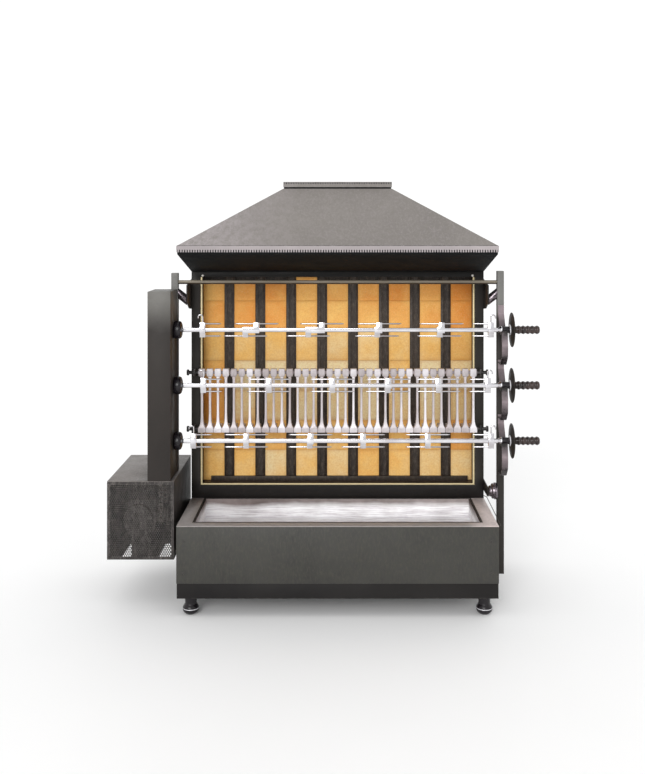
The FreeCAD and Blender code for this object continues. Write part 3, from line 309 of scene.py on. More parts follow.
def rim_material(lo, hi):
    """Handled grey steel: brown soot at the back left, and a painted highlight towards the right."""
    g = Graph("rim_sheet")
    lines = g.noise(22.0, 5, 0.65, stretch=(2, 40, 40))
    colour = g.blend(g.spread(lines, 0.34, 0.68), srgb(142, 136, 134), srgb(168, 163, 161))
    # painted highlight towards the right end
    painted_highlight = g.sum(g.along("X", hi.x - 0.12, hi.x - 0.03), g.spread(g.noise(12.0, 5), 0.3, 0.7, -0.3, 0.1))
    colour = g.blend(painted_highlight, colour, srgb(222, 208, 204))
    patches = g.spread(g.noise(70.0, 6, 0.75), 0.35, 0.65, -0.4, 0.3)
    soot = g.sum(g.near((lo.x, hi.y, hi.z), 0.03, 0.16), patches)
    colour = g.blend(soot, colour, srgb(124, 114, 110))
    g.bump(lines, 0.08, 0.0003)
    return g.finish(colour, g.spread(lines, 0.3, 0.7, 0.4, 0.55), 0.3)


def plastic_material(name, light, dark, rough):
    g = Graph(name)
    cloud = g.spread(g.noise(40.0, 4), 0.35, 0.68)
    colour = g.blend(cloud, dark, light)
    g.bump(g.noise(1400.0, 2), 0.1, 0.0002)
    return g.finish(colour, g.spread(g.noise(60.0, 3), 0.3, 0.7, rough[0], rough[1]))


BASE_PAINT = paint(
    "base_paint", srgb(60, 59, 56), srgb(46, 45, 43), edge_wear_and_highlight=srgb(104, 100, 94),
    mottle=(srgb(58, 58, 52), srgb(68, 65, 58)), shine=0.35,
)
DARK_PAINT = paint("dark_paint", srgb(50, 46, 43), srgb(38, 35, 33), edge_wear_and_highlight=srgb(92, 86, 80), shine=0.2)
# Darker below about 0.43 m, and painted shade darkening the top where the casing meets the hood.
CASING_PAINT = paint(
    "casing_paint", srgb(52, 49, 45), srgb(40, 37, 34), edge_wear_and_highlight=srgb(92, 86, 80), shine=0.2,
    fades=(("Z", 0.43, 0.39, srgb(26, 23, 22)), ("Z", 1.225, 1.25, srgb(24, 23, 22))),
)
PLINTH_PAINT = paint("plinth_paint", srgb(35, 33, 32), srgb(26, 24, 24), edge_wear_and_highlight=srgb(72, 68, 65), shine=0.15)
# Near-black paint standing as painted shade on the hood's downward flare and in the recesses behind the lip
# and collar teeth.
SOFFIT_SHADE_PAINT = paint(
    "soffit_painted_shade", srgb(22, 24, 25), srgb(16, 17, 18), rough=(0.7, 0.85), edge_wear_and_highlight=srgb(70, 66, 64), shine=0.1,
)
# Lighter towards the left end: painted light.
HOOD_PAINT = paint(
    "hood_paint", srgb(128, 123, 119), srgb(116, 111, 108), edge_wear_and_highlight=srgb(170, 166, 166), grain=0.25,
    mottle=(srgb(116, 112, 106), srgb(138, 132, 130)),
    fades=(("X", CENTRE_X - 0.1, CENTRE_X - 0.6, srgb(158, 151, 152)),),
)
LIP_PAINT = paint("lip_paint", srgb(166, 158, 159), srgb(146, 139, 140), edge_wear_and_highlight=srgb(202, 195, 197))
POST_PAINT = paint(
    "post_paint", srgb(54, 50, 47), srgb(42, 38, 35), edge_wear_and_highlight=srgb(128, 120, 114), shine=0.25,
    fades=(("Z", 1.08, 1.12, srgb(116, 115, 112)),),
)
TIE_THICK = TIE_HI.z - TIE_LO.z
# Darker towards the bar's underside: painted shade.
TIE_PAINT = paint(
    "tie_paint", srgb(146, 137, 122), srgb(120, 112, 98), edge_wear_and_highlight=srgb(150, 142, 130),
    fades=(("Z", TIE_HI.z - 0.4 * TIE_THICK, TIE_LO.z + 0.2 * TIE_THICK, srgb(50, 39, 27)),),
)
COVER_PAINT = paint(
    "cover_paint", srgb(46, 41, 38), srgb(36, 32, 30), edge_wear_and_highlight=srgb(104, 98, 94), shine=0.25,
    fades=(("Z", 1.02, 1.18, srgb(106, 104, 100)),),
)
BOX_PAINT = paint(
    "box_paint", srgb(56, 51, 49), srgb(32, 29, 28), edge_wear_and_highlight=srgb(120, 114, 110),
    mottle=(srgb(28, 24, 23), srgb(118, 112, 108)),
)
BOX_SIDE_PAINT = paint("box_side_paint", srgb(74, 70, 70), srgb(46, 43, 42), edge_wear_and_highlight=srgb(130, 124, 120))
# Darker at the end next to the casing: painted shade.
TOP_PAINT = paint(
    "box_top_paint", srgb(122, 116, 112), srgb(104, 98, 95), edge_wear_and_highlight=srgb(150, 144, 140),
    mottle=(srgb(104, 98, 94), srgb(134, 128, 124)),
    fades=(("X", CASING_LO.x - 0.24, CASING_LO.x - 0.1, srgb(70, 65, 62)),),
)
GLOSS_BLACK = paint(
    "gloss_black", srgb(34, 30, 34), srgb(20, 17, 20), rough=(0.16, 0.3), edge_wear_and_highlight=srgb(108, 98, 104),
)
TRIM_STEEL = steel("trim_steel", srgb(236, 222, 180), srgb(206, 188, 142), rough=(0.35, 0.5), metallic=0.2)
HOOK_STEEL = hook_material()
# the liner channels' lighter edges are a painted highlight along the ridges, with some rubbed wear
CHANNEL_PAINT = paint(
    "channel_paint", srgb(64, 54, 45), srgb(38, 32, 28), edge_wear_and_highlight=srgb(118, 104, 90), shine=0.3,
    mottle=(srgb(52, 42, 34), srgb(92, 80, 70)),
)
ROD_PAINT = paint(
    "rod_paint", srgb(168, 158, 160), srgb(120, 110, 110), edge_wear_and_highlight=srgb(200, 192, 192),
    fades=(
        ("X", CENTRE_X - 0.54, CENTRE_X - 0.58, srgb(30, 28, 28)),
        ("X", CENTRE_X + 0.54, CENTRE_X + 0.58, srgb(30, 28, 28)),
    ),
)
# Zinc plate whitened almost to white: partly a painted glint.
ZINC_GLINT = steel("zinc_plate_painted_glint", srgb(250, 250, 252), srgb(226, 224, 230), rough=(0.3, 0.42), metallic=0.1)
STRUT_STEEL = steel(
    "strut_steel", srgb(150, 140, 146), srgb(52, 48, 50), rough=(0.18, 0.3), stretch=(6, 6, 6), metallic=0.9,
)
CHAIN_STEEL = steel("chain_steel", srgb(130, 124, 118), srgb(84, 78, 72), rough=(0.3, 0.45))
MOTOR_METAL = steel("motor_metal", srgb(96, 92, 90), srgb(70, 66, 64), rough=(0.4, 0.55), metallic=0.4)
SCREW_STEEL = paint(
    "screw_steel", srgb(62, 60, 57), srgb(50, 48, 46), rough=(0.3, 0.45), edge_wear_and_highlight=srgb(80, 77, 73),
    fades=(("Z", 0.9, 1.1, srgb(236, 232, 226)),),
)
CHROME = chrome_material()
FIRE_CLAY = brick_material()
GRATE_IRON = grate_material()
GRIP_PLASTIC = plastic_material("grip_phenolic", srgb(60, 46, 42), srgb(26, 19, 17), (0.14, 0.24))
GLAND_PLASTIC = plastic_material("gland_nylon", srgb(40, 40, 42), srgb(26, 26, 28), (0.4, 0.55))


# ---------------------------------------------------------------- pieces

def add_piece(name, mesh, material, body, replaces=(), smooth_angle=35):
    """A new piece from finished mesh data, riding on its body."""
    for polygon in mesh.polygons:
        polygon.use_smooth = True
    mesh.set_sharp_from_angle(angle=math.radians(smooth_angle))
    piece = bpy.data.objects.new(name, mesh)
    bpy.context.scene.collection.objects.link(piece)
    piece.data.materials.append(material)
    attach(piece, body)
    if replaces:
        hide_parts(*replaces)
    return piece


def mesh_from(bm, name):
    mesh = bpy.data.meshes.new(name)
    bmesh.ops.recalc_face_normals(bm, faces=bm.faces)
    bm.to_mesh(mesh)
    bm.free()
    return mesh


def bevel_edges(bm, width, segments=2, angle=30):
    sharp = [
        e for e in bm.edges
        if len(e.link_faces) == 2 and e.calc_face_angle(0) > math.radians(angle)
    ]
    bmesh.ops.bevel(
        bm, geom=sharp, offset=width, offset_type="OFFSET", segments=segments,
        profile=0.5, affect="EDGES", clamp_overlap=True,
    )


def refine(node, material, width=1.2 * MM, segments=2, name=None):
    """A CAD node's own shape with its edges rolled over, as folded or filed metal has."""
    source = frame["nodes"][node]
    bm = bmesh.new()
    bm.from_mesh(source.data)
    bmesh.ops.remove_doubles(bm, verts=bm.verts, dist=0.00001)
    bmesh.ops.dissolve_limit(
        bm, angle_limit=math.radians(0.5), verts=bm.verts, edges=bm.edges, use_dissolve_boundaries=False,
    )
    bevel_edges(bm, width, segments)
    body = source["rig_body"]
    return add_piece(name or node + "_formed", mesh_from(bm, node), material, body, (node,))


def add_box(bm, low, high):
    """A box in bm; returns its vertices."""
    size = Vector(high) - Vector(low)
    matrix = Matrix.Translation((Vector(low) + Vector(high)) / 2) @ Matrix.Diagonal((*size, 1))
    return bmesh.ops.create_cube(bm, size=1, matrix=matrix)["verts"]


def add_turned(bm, profile, centre, axis, segments=40):
    """A closed solid of revolution; profile holds (distance along axis, radius), from end to end."""
    axis = Vector(axis)
    side = Vector((0, 0, 1)) if abs(axis.z) < 0.9 else Vector((1, 0, 0))
    side = (side - axis * side.dot(axis)).normalized()
    other = axis.cross(side)
    rings = []
    for along, radius in profile:
        spot = Vector(centre) + axis * along
        if radius < 1e-7:
            rings.append([bm.verts.new(spot)])
            continue
        ring = []
        for step in range(segments):
            turn = 2 * math.pi * step / segments
            ring.append(bm.verts.new(spot + (side * math.cos(turn) + other * math.sin(turn)) * radius))
        rings.append(ring)
    for first, second in zip(rings, rings[1:]):
        for step in range(segments):
            after = (step + 1) % segments
            corners = []
            for ring, index in ((first, step), (first, after), (second, after), (second, step)):
                vertex = ring[index if len(ring) > 1 else 0]
                if vertex not in corners:
                    corners.append(vertex)
            if len(corners) > 2:
                bm.faces.new(corners)


def rounded(profile, radius, steps=4):
    """The profile with its inner corners turned into short arcs."""
    smooth = [profile[0]]
    for before, here, after in zip(profile, profile[1:], profile[2:]):
        b, h, a = Vector(before), Vector(here), Vector(after)
        reach = min(radius, (b - h).length / 2.1, (a - h).length / 2.1)
        start, end = h + (b - h).normalized() * reach, h + (a - h).normalized() * reach
        for i in range(steps + 1):
            t = i / steps
            smooth.append(tuple(start.lerp(h, t).lerp(h.lerp(end, t), t)))
    smooth.append(profile[-1])
    return smooth


def in_metres(profile):
    return [(along * MM, radius * MM) for along, radius in profile]


def spit_axis(spit):
    lo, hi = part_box(f"drive_spindle_{spit}")
    return (lo.y + hi.y) / 2, (lo.z + hi.z) / 2


# ---------------------------------------------------------------- base

FOOT_R = 30.5 * MM
FOOT_PROFILE = (
    (0, 0), (0, 17), (1, 19), (4, 23.5), (9, 28), (15, 30.2), (19.5, 30.5), (20.5, 29.6), (22, 29.6),
    (23, 30.4), (27, 29.4), (32, 26.6), (36, 23.6), (38, 22.4), (42, 22), (52, 22.6), (70, 24), (70, 0),
)
FOOT_RING = ((20.2, 29), (20.2, 30.2), (21.2, 30.6), (22.2, 30.2), (22.2, 29))
FOOT_SEGMENTS = 48
TRAY_GAP, FOLD_WIDTH, FOLD_UNDER, FOLD_OVER = 3 * MM, 6 * MM, 1 * MM, 0.8 * MM


def build_base():
    refine("base_shell", BASE_PAINT, 1.6 * MM)
    refine("base_plinth", PLINTH_PAINT, 0.5 * MM)
    refine("base_rim", rim_material(*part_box("base_rim")), 1.0 * MM)
    refine("drip_tray", tray_material(*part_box("drip_tray")), 0.5 * MM)
    tray_lo, tray_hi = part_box("drip_tray")
    rim_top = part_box("base_rim")[1].z
    mouth = (tray_lo.x - TRAY_GAP, tray_hi.x + TRAY_GAP, tray_lo.y - TRAY_GAP, tray_hi.y + TRAY_GAP)
    bm = bmesh.new()
    # the dark fold round the tray's mouth is a painted shadow line at the tray's edge
    square_ring(bm, rim_top - FOLD_UNDER, rim_top + FOLD_OVER, shrunk(mouth, -FOLD_WIDTH), mouth)
    add_piece("rim_fold_painted_shadow", mesh_from(bm, "fold"), DARK_PAINT, OVEN)
    lo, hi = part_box("bun_feet")
    centres = [
        (x, y, 0) for x in (lo.x + FOOT_R, hi.x - FOOT_R) for y in (lo.y + FOOT_R, hi.y - FOOT_R)
    ]
    profile = rounded(in_metres(FOOT_PROFILE), 1.5 * MM, 2)
    bm = bmesh.new()
    for centre in centres:
        add_turned(bm, profile, centre, Z_AXIS, FOOT_SEGMENTS)
    add_piece("bun_feet_turned", mesh_from(bm, "feet"), GLOSS_BLACK, OVEN, ("bun_feet",), 40)
    bm = bmesh.new()
    for centre in centres:
        add_turned(bm, in_metres(FOOT_RING), centre, Z_AXIS, FOOT_SEGMENTS)
    # the rings' near-white zinc is partly a painted glint
    add_piece("bun_feet_rings", mesh_from(bm, "rings"), ZINC_GLINT, OVEN)


# ---------------------------------------------------------------- back unit

# How orange the courses are, from the bottom one up, and how far each strip differs from them.
COURSE_TINTS = (0.36, 0.55, 0.1, 0.0, 0.42, 0.74, 0.8)
STRIP_TINTS = (0.06, 0.04, 0.08, -0.08, -0.08, -0.08, 0.04, 0.0, 0.16)
ODD_BRICKS = {
    (0, 0): 0.5, (1, 0): 0.46, (2, 0): 0.22, (5, 0): 0.62, (8, 0): 0.25,
    (0, 2): 0.85, (0, 3): 0.7, (6, 3): 0.5, (0, 6): 0.6,
}
BRICK_WIDTH, COURSE_HEIGHT, COURSE_JOINT = 87 * MM, 125 * MM, 0.8 * MM
TOP_STAINS = (0.35, 0.35, 0.95, 0.15, 0.15, 0.15, 0.55, 0.3, 0.9)
RAISED_STRIP, RAISED_BY = 3, 21 * MM


def brick(bm, layers, x0, x1, y0, y1, z0, z1, tint, top_stain):
    """One brick: an uneven face with soft arrises, and plain sides and back."""
    across, up, arris = 8, 10, 1.4 * MM
    depth_shift = RNG.uniform(0, 1.2) * MM
    soiled = RNG.random() < 0.3
    grid = []
    for j in range(up + 1):
        line = []
        for i in range(across + 1):
            u, v = i / across, j / up
            edge = min(u, 1 - u) * (x1 - x0), min(v, 1 - v) * (z1 - z0)
            y = y0 + depth_shift + RNG.uniform(-0.2, 0.2) * MM
            if min(edge) < 1e-6:
                y += arris * RNG.uniform(0.7, 1.4)
            vertex = bm.verts.new((x0 + (x1 - x0) * u, y, z0 + (z1 - z0) * v))
            vertex[layers["tint"]] = tint
            vertex[layers["rim"]] = 1.0 if min(edge) < 3 * MM else 0.0
            vertex[layers["stain"]] = max(top_stain * v * v, 0.3 * (1 - v) ** 4 if soiled else 0.0)
            line.append(vertex)
        grid.append(line)
    for a, b in zip(grid, grid[1:]):
        for i in range(across):
            bm.faces.new((a[i], a[i + 1], b[i + 1], b[i]))
    loop = (
        grid[0] + [line[-1] for line in grid[1:]] + grid[-1][-2::-1] + [line[0] for line in grid[-2:0:-1]]
    )
    back = []
    for vertex in loop:
        made = bm.verts.new((vertex.co.x, y1, vertex.co.z))
        for layer in layers.values():
            made[layer] = vertex[layer]
        back.append(made)
    for i, vertex in enumerate(loop):
        after = (i + 1) % len(loop)
        bm.faces.new((vertex, back[i], back[after], loop[after]))
    bm.faces.new(back)


def brick_strip(strip, x0, y0, y1, z0, top):
    bm = bmesh.new()
    layers = {name: bm.verts.layers.float.new(name) for name in ("tint", "rim", "stain")}
    for course, course_tint in enumerate(COURSE_TINTS):
        low = z0 + course * COURSE_HEIGHT
        high = min(low + COURSE_HEIGHT, top) - COURSE_JOINT
        tint = ODD_BRICKS.get((strip, course), course_tint + STRIP_TINTS[strip]) + RNG.uniform(-0.07, 0.07)
        top_stain = TOP_STAINS[strip] if course == len(COURSE_TINTS) - 1 else 0.0
        brick(bm, layers, x0, x0 + BRICK_WIDTH, y0, y1, low, high, tint, top_stain)
    return mesh_from(bm, f"bricks_{strip}")


def build_back_unit():
    refine("back_casing", CASING_PAINT, 1.4 * MM)
    refine("firebox_liner", CHANNEL_PAINT, 0.6 * MM)
    refine("brick_trim", TRIM_STEEL, 0.6 * MM)
    lo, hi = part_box("fire_bricks")
    strips = len(STRIP_TINTS)
    pitch = (hi.x - lo.x - BRICK_WIDTH) / (strips - 1)
    for strip in range(strips):
        top = hi.z + COURSE_JOINT - (0 if strip == RAISED_STRIP else RAISED_BY)
        mesh = brick_strip(strip, lo.x + strip * pitch, lo.y, hi.y, lo.z, top)
        add_piece(
            f"brick_strip_{strip + 1}", mesh, FIRE_CLAY, OVEN,
            ("fire_bricks",) if strip == 0 else (), 50,
        )


# ---------------------------------------------------------------- hood

def square_ring(bm, z0, z1, outer, inner):
    """A closed frame between two rectangles, each (x0, x1, y0, y1)."""
    loops = []
    for box, z in ((outer, z0), (outer, z1), (inner, z1), (inner, z0)):
        corners = ((box[0], box[2]), (box[1], box[2]), (box[1], box[3]), (box[0], box[3]))
        loops.append([bm.verts.new((x, y, z)) for x, y in corners])
    for a, b in zip(loops, loops[1:] + loops[:1]):
        for i in range(4):
            bm.faces.new((a[i], a[(i + 1) % 4], b[(i + 1) % 4], b[i]))


def shrunk(box, by):
    return (box[0] + by, box[1] - by, box[2] + by, box[3] - by)


def teeth(bm, box, depth, z0, z1, pitch):
    """Upright teeth on the outside of a rectangle's four sides."""
    half = 0.27 * pitch
    for axis in (0, 1):
        low, high = box[axis * 2], box[axis * 2 + 1]
        other = 2 - axis * 2
        count = int((high - low) / pitch)
        start = (low + high - (count - 1) * pitch) / 2
        for near, far in ((box[other], box[other] + depth), (box[other + 1] - depth, box[other + 1])):
            for i in range(count):
                middle = start + i * pitch
                along, deep = (middle - half, middle + half), (near, far)
                x, y = (along, deep) if axis == 0 else (deep, along)
                add_box(bm, (x[0], y[0], z0), (x[1], y[1], z1))


TOOTH_PITCH = 9.6 * MM
LIP_WALL, LIP_TOOTH_DEPTH, LIP_TOOTH_HEIGHT, LIP_GROOVE = 5 * MM, 3.2 * MM, 9.5 * MM, 1.2 * MM
COLLAR_WALL, COLLAR_TOOTH_DEPTH, COLLAR_TOOTH_HEIGHT = 4 * MM, 2.4 * MM, 8 * MM
COLLAR_GROOVE, COLLAR_CAP = 6.5 * MM, 2 * MM


def build_hood():
    refine("hood_shell", HOOD_PAINT, 0.5 * MM)
    # the flare's near-black is painted shade
    refine("hood_flare", SOFFIT_SHADE_PAINT, 1.2 * MM)

    lo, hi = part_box("hood_lip")
    outer = (lo.x, hi.x, lo.y, hi.y)
    inner = shrunk(outer, LIP_WALL)
    split, groove = lo.z + LIP_TOOTH_HEIGHT, hi.z - LIP_GROOVE
    bm = bmesh.new()
    square_ring(bm, split, groove, outer, inner)
    bevel_edges(bm, 0.8 * MM)
    teeth(bm, outer, LIP_TOOTH_DEPTH, lo.z, split, TOOTH_PITCH)
    add_piece("hood_lip_band", mesh_from(bm, "lip"), LIP_PAINT, OVEN, ("hood_lip",), 30)
    # the dark backing behind the lip teeth and groove is painted shade
    bm = bmesh.new()
    square_ring(bm, lo.z + 0.5 * MM, split, shrunk(outer, LIP_TOOTH_DEPTH), inner)
    square_ring(bm, groove, hi.z, shrunk(outer, 1.6 * MM), inner)
    add_piece("hood_lip_backing", mesh_from(bm, "lip_backing"), SOFFIT_SHADE_PAINT, OVEN)

    lo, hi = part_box("flue_collar")
    outer = (lo.x, hi.x, lo.y, hi.y)
    inner = shrunk(outer, COLLAR_WALL)
    groove, crown, cap = lo.z + COLLAR_GROOVE, hi.z - COLLAR_TOOTH_HEIGHT, hi.z - COLLAR_CAP
    bm = bmesh.new()
    square_ring(bm, groove, crown, outer, inner)
    bevel_edges(bm, 0.6 * MM)
    teeth(bm, outer, COLLAR_TOOTH_DEPTH, crown, hi.z, TOOTH_PITCH)
    square_ring(bm, cap, hi.z, shrunk(outer, 0.2 * MM), inner)
    add_piece(
        "flue_collar_band", mesh_from(bm, "collar"), HOOD_PAINT, OVEN, ("flue_collar",), 30,
    )
    # the dark backing behind the collar teeth and groove is painted shade
    bm = bmesh.new()
    square_ring(bm, crown, cap, shrunk(outer, COLLAR_TOOTH_DEPTH), inner)
    square_ring(bm, lo.z, groove, shrunk(outer, 2.6 * MM), inner)
    add_piece("flue_collar_backing", mesh_from(bm, "collar_backing"), SOFFIT_SHADE_PAINT, OVEN)


# ---------------------------------------------------------------- posts

def bent_path(corners, steps=14):
    """Points (y, z) along straight runs joined by tangent arcs; corners holds ((y, z), bend radius)."""
    points = [Vector(corners[0][0])]
    for before, here, after in zip(corners, corners[1:], corners[2:]):
        spot = Vector(here[0])
        back = (Vector(before[0]) - spot).normalized()
        ahead = (Vector(after[0]) - spot).normalized()
        half = back.angle(ahead) / 2
        reach = here[1] / math.tan(half)
        centre = spot + (back + ahead).normalized() * (here[1] / math.sin(half))
        start, end = spot + back * reach - centre, spot + ahead * reach - centre
        turn = start.angle_signed(end)
        for i in range(steps + 1):
            points.append(centre + Matrix.Rotation(-turn * i / steps, 2) @ start)
    points.append(Vector(corners[-1][0]))
    return points


def flat_bar(bm, path, x0, x1, thick, edge, shade):
    """A flat bar bent along a (y, z) path, its corners rounded; shade gives each point's tone."""
    tone = bm.verts.layers.float.get("tone") or bm.verts.layers.float.new("tone")
    half = thick / 2
    section = (
        (x0 + edge, -half), (x1 - edge, -half), (x1, -half + edge), (x1, half - edge),
        (x1 - edge, half), (x0 + edge, half), (x0, half - edge), (x0, -half + edge),
    )
    rings = []
    for i, spot in enumerate(path):
        ahead = (path[min(i + 1, len(path) - 1)] - path[max(i - 1, 0)]).normalized()
        across = Vector((-ahead.y, ahead.x))
        ring = [bm.verts.new((x, spot.x + across.x * off, spot.y + across.y * off)) for x, off in section]
        for vertex in ring:
            vertex[tone] = shade(spot)
        rings.append(ring)
    for a, b in zip(rings, rings[1:]):
        for k in range(8):
            bm.faces.new((a[k], a[(k + 1) % 8], b[(k + 1) % 8], b[k]))
    bm.faces.new(rings[0])
    bm.faces.new(rings[-1])


HOOK_ARM = Vector((59, 58)) * MM
HOOK_ARM_RISE, HOOK_SEAT_R, HOOK_LIP_LENGTH = 34 * MM, 17.3 * MM, 44 * MM
HOOK_LIP_TURN = math.radians(118)
HOOK_THICK = 6 * MM
HOOK_TAIL = ((-33, -60, 20), (-30, -104, 22), (4, -136, 22), (62, -136, 0))


def hook_path(y, z):
    """Arm down from the post, seat under the journal, belly, and tail back to the post."""
    arm_turn = math.atan2(-HOOK_ARM.y, -HOOK_ARM.x) + math.asin(HOOK_SEAT_R / HOOK_ARM.length)
    down = Vector((math.cos(arm_turn), math.sin(arm_turn)))
    lip = Vector((math.cos(HOOK_LIP_TURN), math.sin(HOOK_LIP_TURN)))
    half = (math.pi - down.angle(lip)) / 2
    bottom = (down - lip).normalized() * (HOOK_SEAT_R / math.sin(half))
    tip = bottom + lip * HOOK_LIP_LENGTH
    corners = [
        (HOOK_ARM + Vector((0, HOOK_ARM_RISE)), 0), (HOOK_ARM, 14 * MM),
        (bottom, HOOK_SEAT_R), (tip, 5.5 * MM),
    ]
    corners += [(Vector((forward, up)) * MM, radius * MM) for forward, up, radius in HOOK_TAIL]
    return [point + Vector((y, z)) for point in bent_path(corners)]


# The side guard's bends, from the rim's right corners: outwards, back and up, in millimetres.
GUARD_OFFSETS = ((-1, 14, -8), (11, 26, -4), (11, -4, 6), (-1, 16, 6))
GUARD_WIRE_R = 1.4 * MM


def rod_profile(radius, length):
    return [(0, 0), (0, radius), (length, radius), (length, 0)]


def build_posts():
    for node in ("left_post", "right_post"):
        refine(node, POST_PAINT, 1.6 * MM)
    refine("post_brackets", DARK_PAINT, 1.0 * MM)
    refine("post_standoffs", STRUT_STEEL, 1.0 * MM)
    hooks_lo, hooks_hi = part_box("spit_hooks")
    bm = bmesh.new()
    for spit in SPITS:
        axis_y, axis_z = spit_axis(spit)

        # painted highlight: high on the upper arm and on the belly's upper part, black elsewhere
        def shade(spot):
            above = (spot.y - axis_z) / MM
            arm = min(max((above - 14) / 12, 0), 1)
            belly = 0.75 * min(max((above + 104) / 30, 0), 1) * min(max((-34 - above) / 8, 0), 1)
            return max(arm, belly)

        flat_bar(bm, hook_path(axis_y, axis_z), hooks_lo.x, hooks_hi.x, HOOK_THICK, 1.0 * MM, shade)
    add_piece("spit_hooks_bent", mesh_from(bm, "hooks"), HOOK_STEEL, OVEN, ("spit_hooks",), 40)
    lo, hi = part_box("tie_bar")
    middle = (lo + hi) / 2
    bm = bmesh.new()
    add_turned(bm, rod_profile((hi.z - lo.z) / 2, hi.x - lo.x), (lo.x, middle.y, middle.z), X_AXIS, 32)
    add_piece("tie_bar_round", mesh_from(bm, "tie_bar"), TIE_PAINT, OVEN, ("tie_bar",))

    rim_lo, rim_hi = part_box("base_rim")
    corner_y = (rim_lo.y, rim_lo.y, rim_hi.y, rim_hi.y)
    places = [
        Vector((rim_hi.x, y, rim_hi.z)) + Vector(offset) * MM for y, offset in zip(corner_y, GUARD_OFFSETS)
    ]
    bm = bmesh.new()
    for start, end in zip(places, places[1:]):
        run = end - start
        add_turned(bm, rod_profile(GUARD_WIRE_R, run.length), start, run.normalized(), 12)
    add_piece("side_guard_wire", mesh_from(bm, "guard"), DARK_PAINT, OVEN)


# ---------------------------------------------------------------- fire grate

TINE_COUNT, TINE_FOOT, TINE_DEPTH = 35, 31.5 * MM, 24 * MM
TINE_LEG_HALF, TINE_LEG_HEIGHT, TINE_LEG_OVERLAP = 5.5 * MM, 14 * MM, 2 * MM
# Half width and inset from the faces at heights below the head's top and above the foot's sole.
TINE_DOWN = (
    (0, 11.5, 0), (1.5, 12.5, 0), (27, 12.5, 0), (29.5, 11, 1.5), (32, 6.6, 4), (44, 5.0, 5), (90, 4.3, 5.5),
)
TINE_UP = (
    (84, 4.4, 5.5), (60, 4.9, 5), (44, 5.8, 4.5), (34, 7.4, 3.5), (27, 9.8, 2), (22, 12.6, 0.8),
    (18, 15.0, 0), (14, 15.7, 0), (1.5, 15.7, 0), (0, 15.0, 0.6),
)


def grate_tine_mesh(bm, tone, x, tine_lo, tine_hi):
    """One cast finger: sleeve head, waisted shank, foot flared to its neighbours, and a leg."""
    z0, z1 = tine_lo.z, tine_hi.z
    front, back = tine_lo.y, tine_lo.y + TINE_DEPTH
    shade = RNG.uniform(0.1, 1.0)
    lean = RNG.uniform(-0.5, 0.5) * MM
    stations = [(z1 - drop * MM, half, inset) for drop, half, inset in TINE_DOWN]
    stations += [(z0 + rise * MM, half, inset) for rise, half, inset in TINE_UP]
    rings = []
    for z, half, inset in stations:
        half, inset = half * MM, inset * MM
        soft = min(1.3 * MM, half * 0.3)
        y0, y1 = front + inset, back - inset
        outline = (
            (-half + soft, y0), (half - soft, y0), (half, y0 + soft), (half, y1 - soft),
            (half - soft, y1), (-half + soft, y1), (-half, y1 - soft), (-half, y0 + soft),
        )
        shift = lean if half < 9 * MM else 0.0
        ring = [bm.verts.new((x + shift + dx, y, z)) for dx, y in outline]
        for vertex in ring:
            vertex[tone] = shade
        rings.append(ring)
    for a, b in zip(rings, rings[1:]):
        for i in range(8):
            bm.faces.new((a[i], a[(i + 1) % 8], b[(i + 1) % 8], b[i]))
    bm.faces.new(rings[0])
    bm.faces.new(rings[-1])
    leg = add_box(
        bm, (x - TINE_LEG_HALF, back - TINE_LEG_OVERLAP, z0),
        (x + TINE_LEG_HALF, tine_hi.y, z0 + TINE_LEG_HEIGHT),
    )
    for vertex in leg:
        vertex[tone] = shade


def build_grate():
    lo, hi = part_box("grate_tines")
    pitch = (hi.x - lo.x - TINE_FOOT) / (TINE_COUNT - 1)
    bm = bmesh.new()
    tone = bm.verts.layers.float.new("tone")
    for i in range(TINE_COUNT):
        grate_tine_mesh(bm, tone, lo.x + TINE_FOOT / 2 + i * pitch, lo, hi)
    add_piece("grate_fingers", mesh_from(bm, "grate"), GRATE_IRON, OVEN, ("grate_tines",), 40)
    refine("grate_rods", ROD_PAINT, 0.8 * MM)


# ---------------------------------------------------------------- drive

SCREEN_PITCH, SCREEN_HOLE_R, SCREEN_BORDER = 8.4 * MM, 3.1 * MM, 8 * MM
SCREEN_THICK, BOX_FOLD = 1.5 * MM, 1.6 * MM
VENTS_X = ((52 * MM, 83 * MM), (192 * MM, 244 * MM))
VENTS_Y = (10 * MM, 184 * MM)


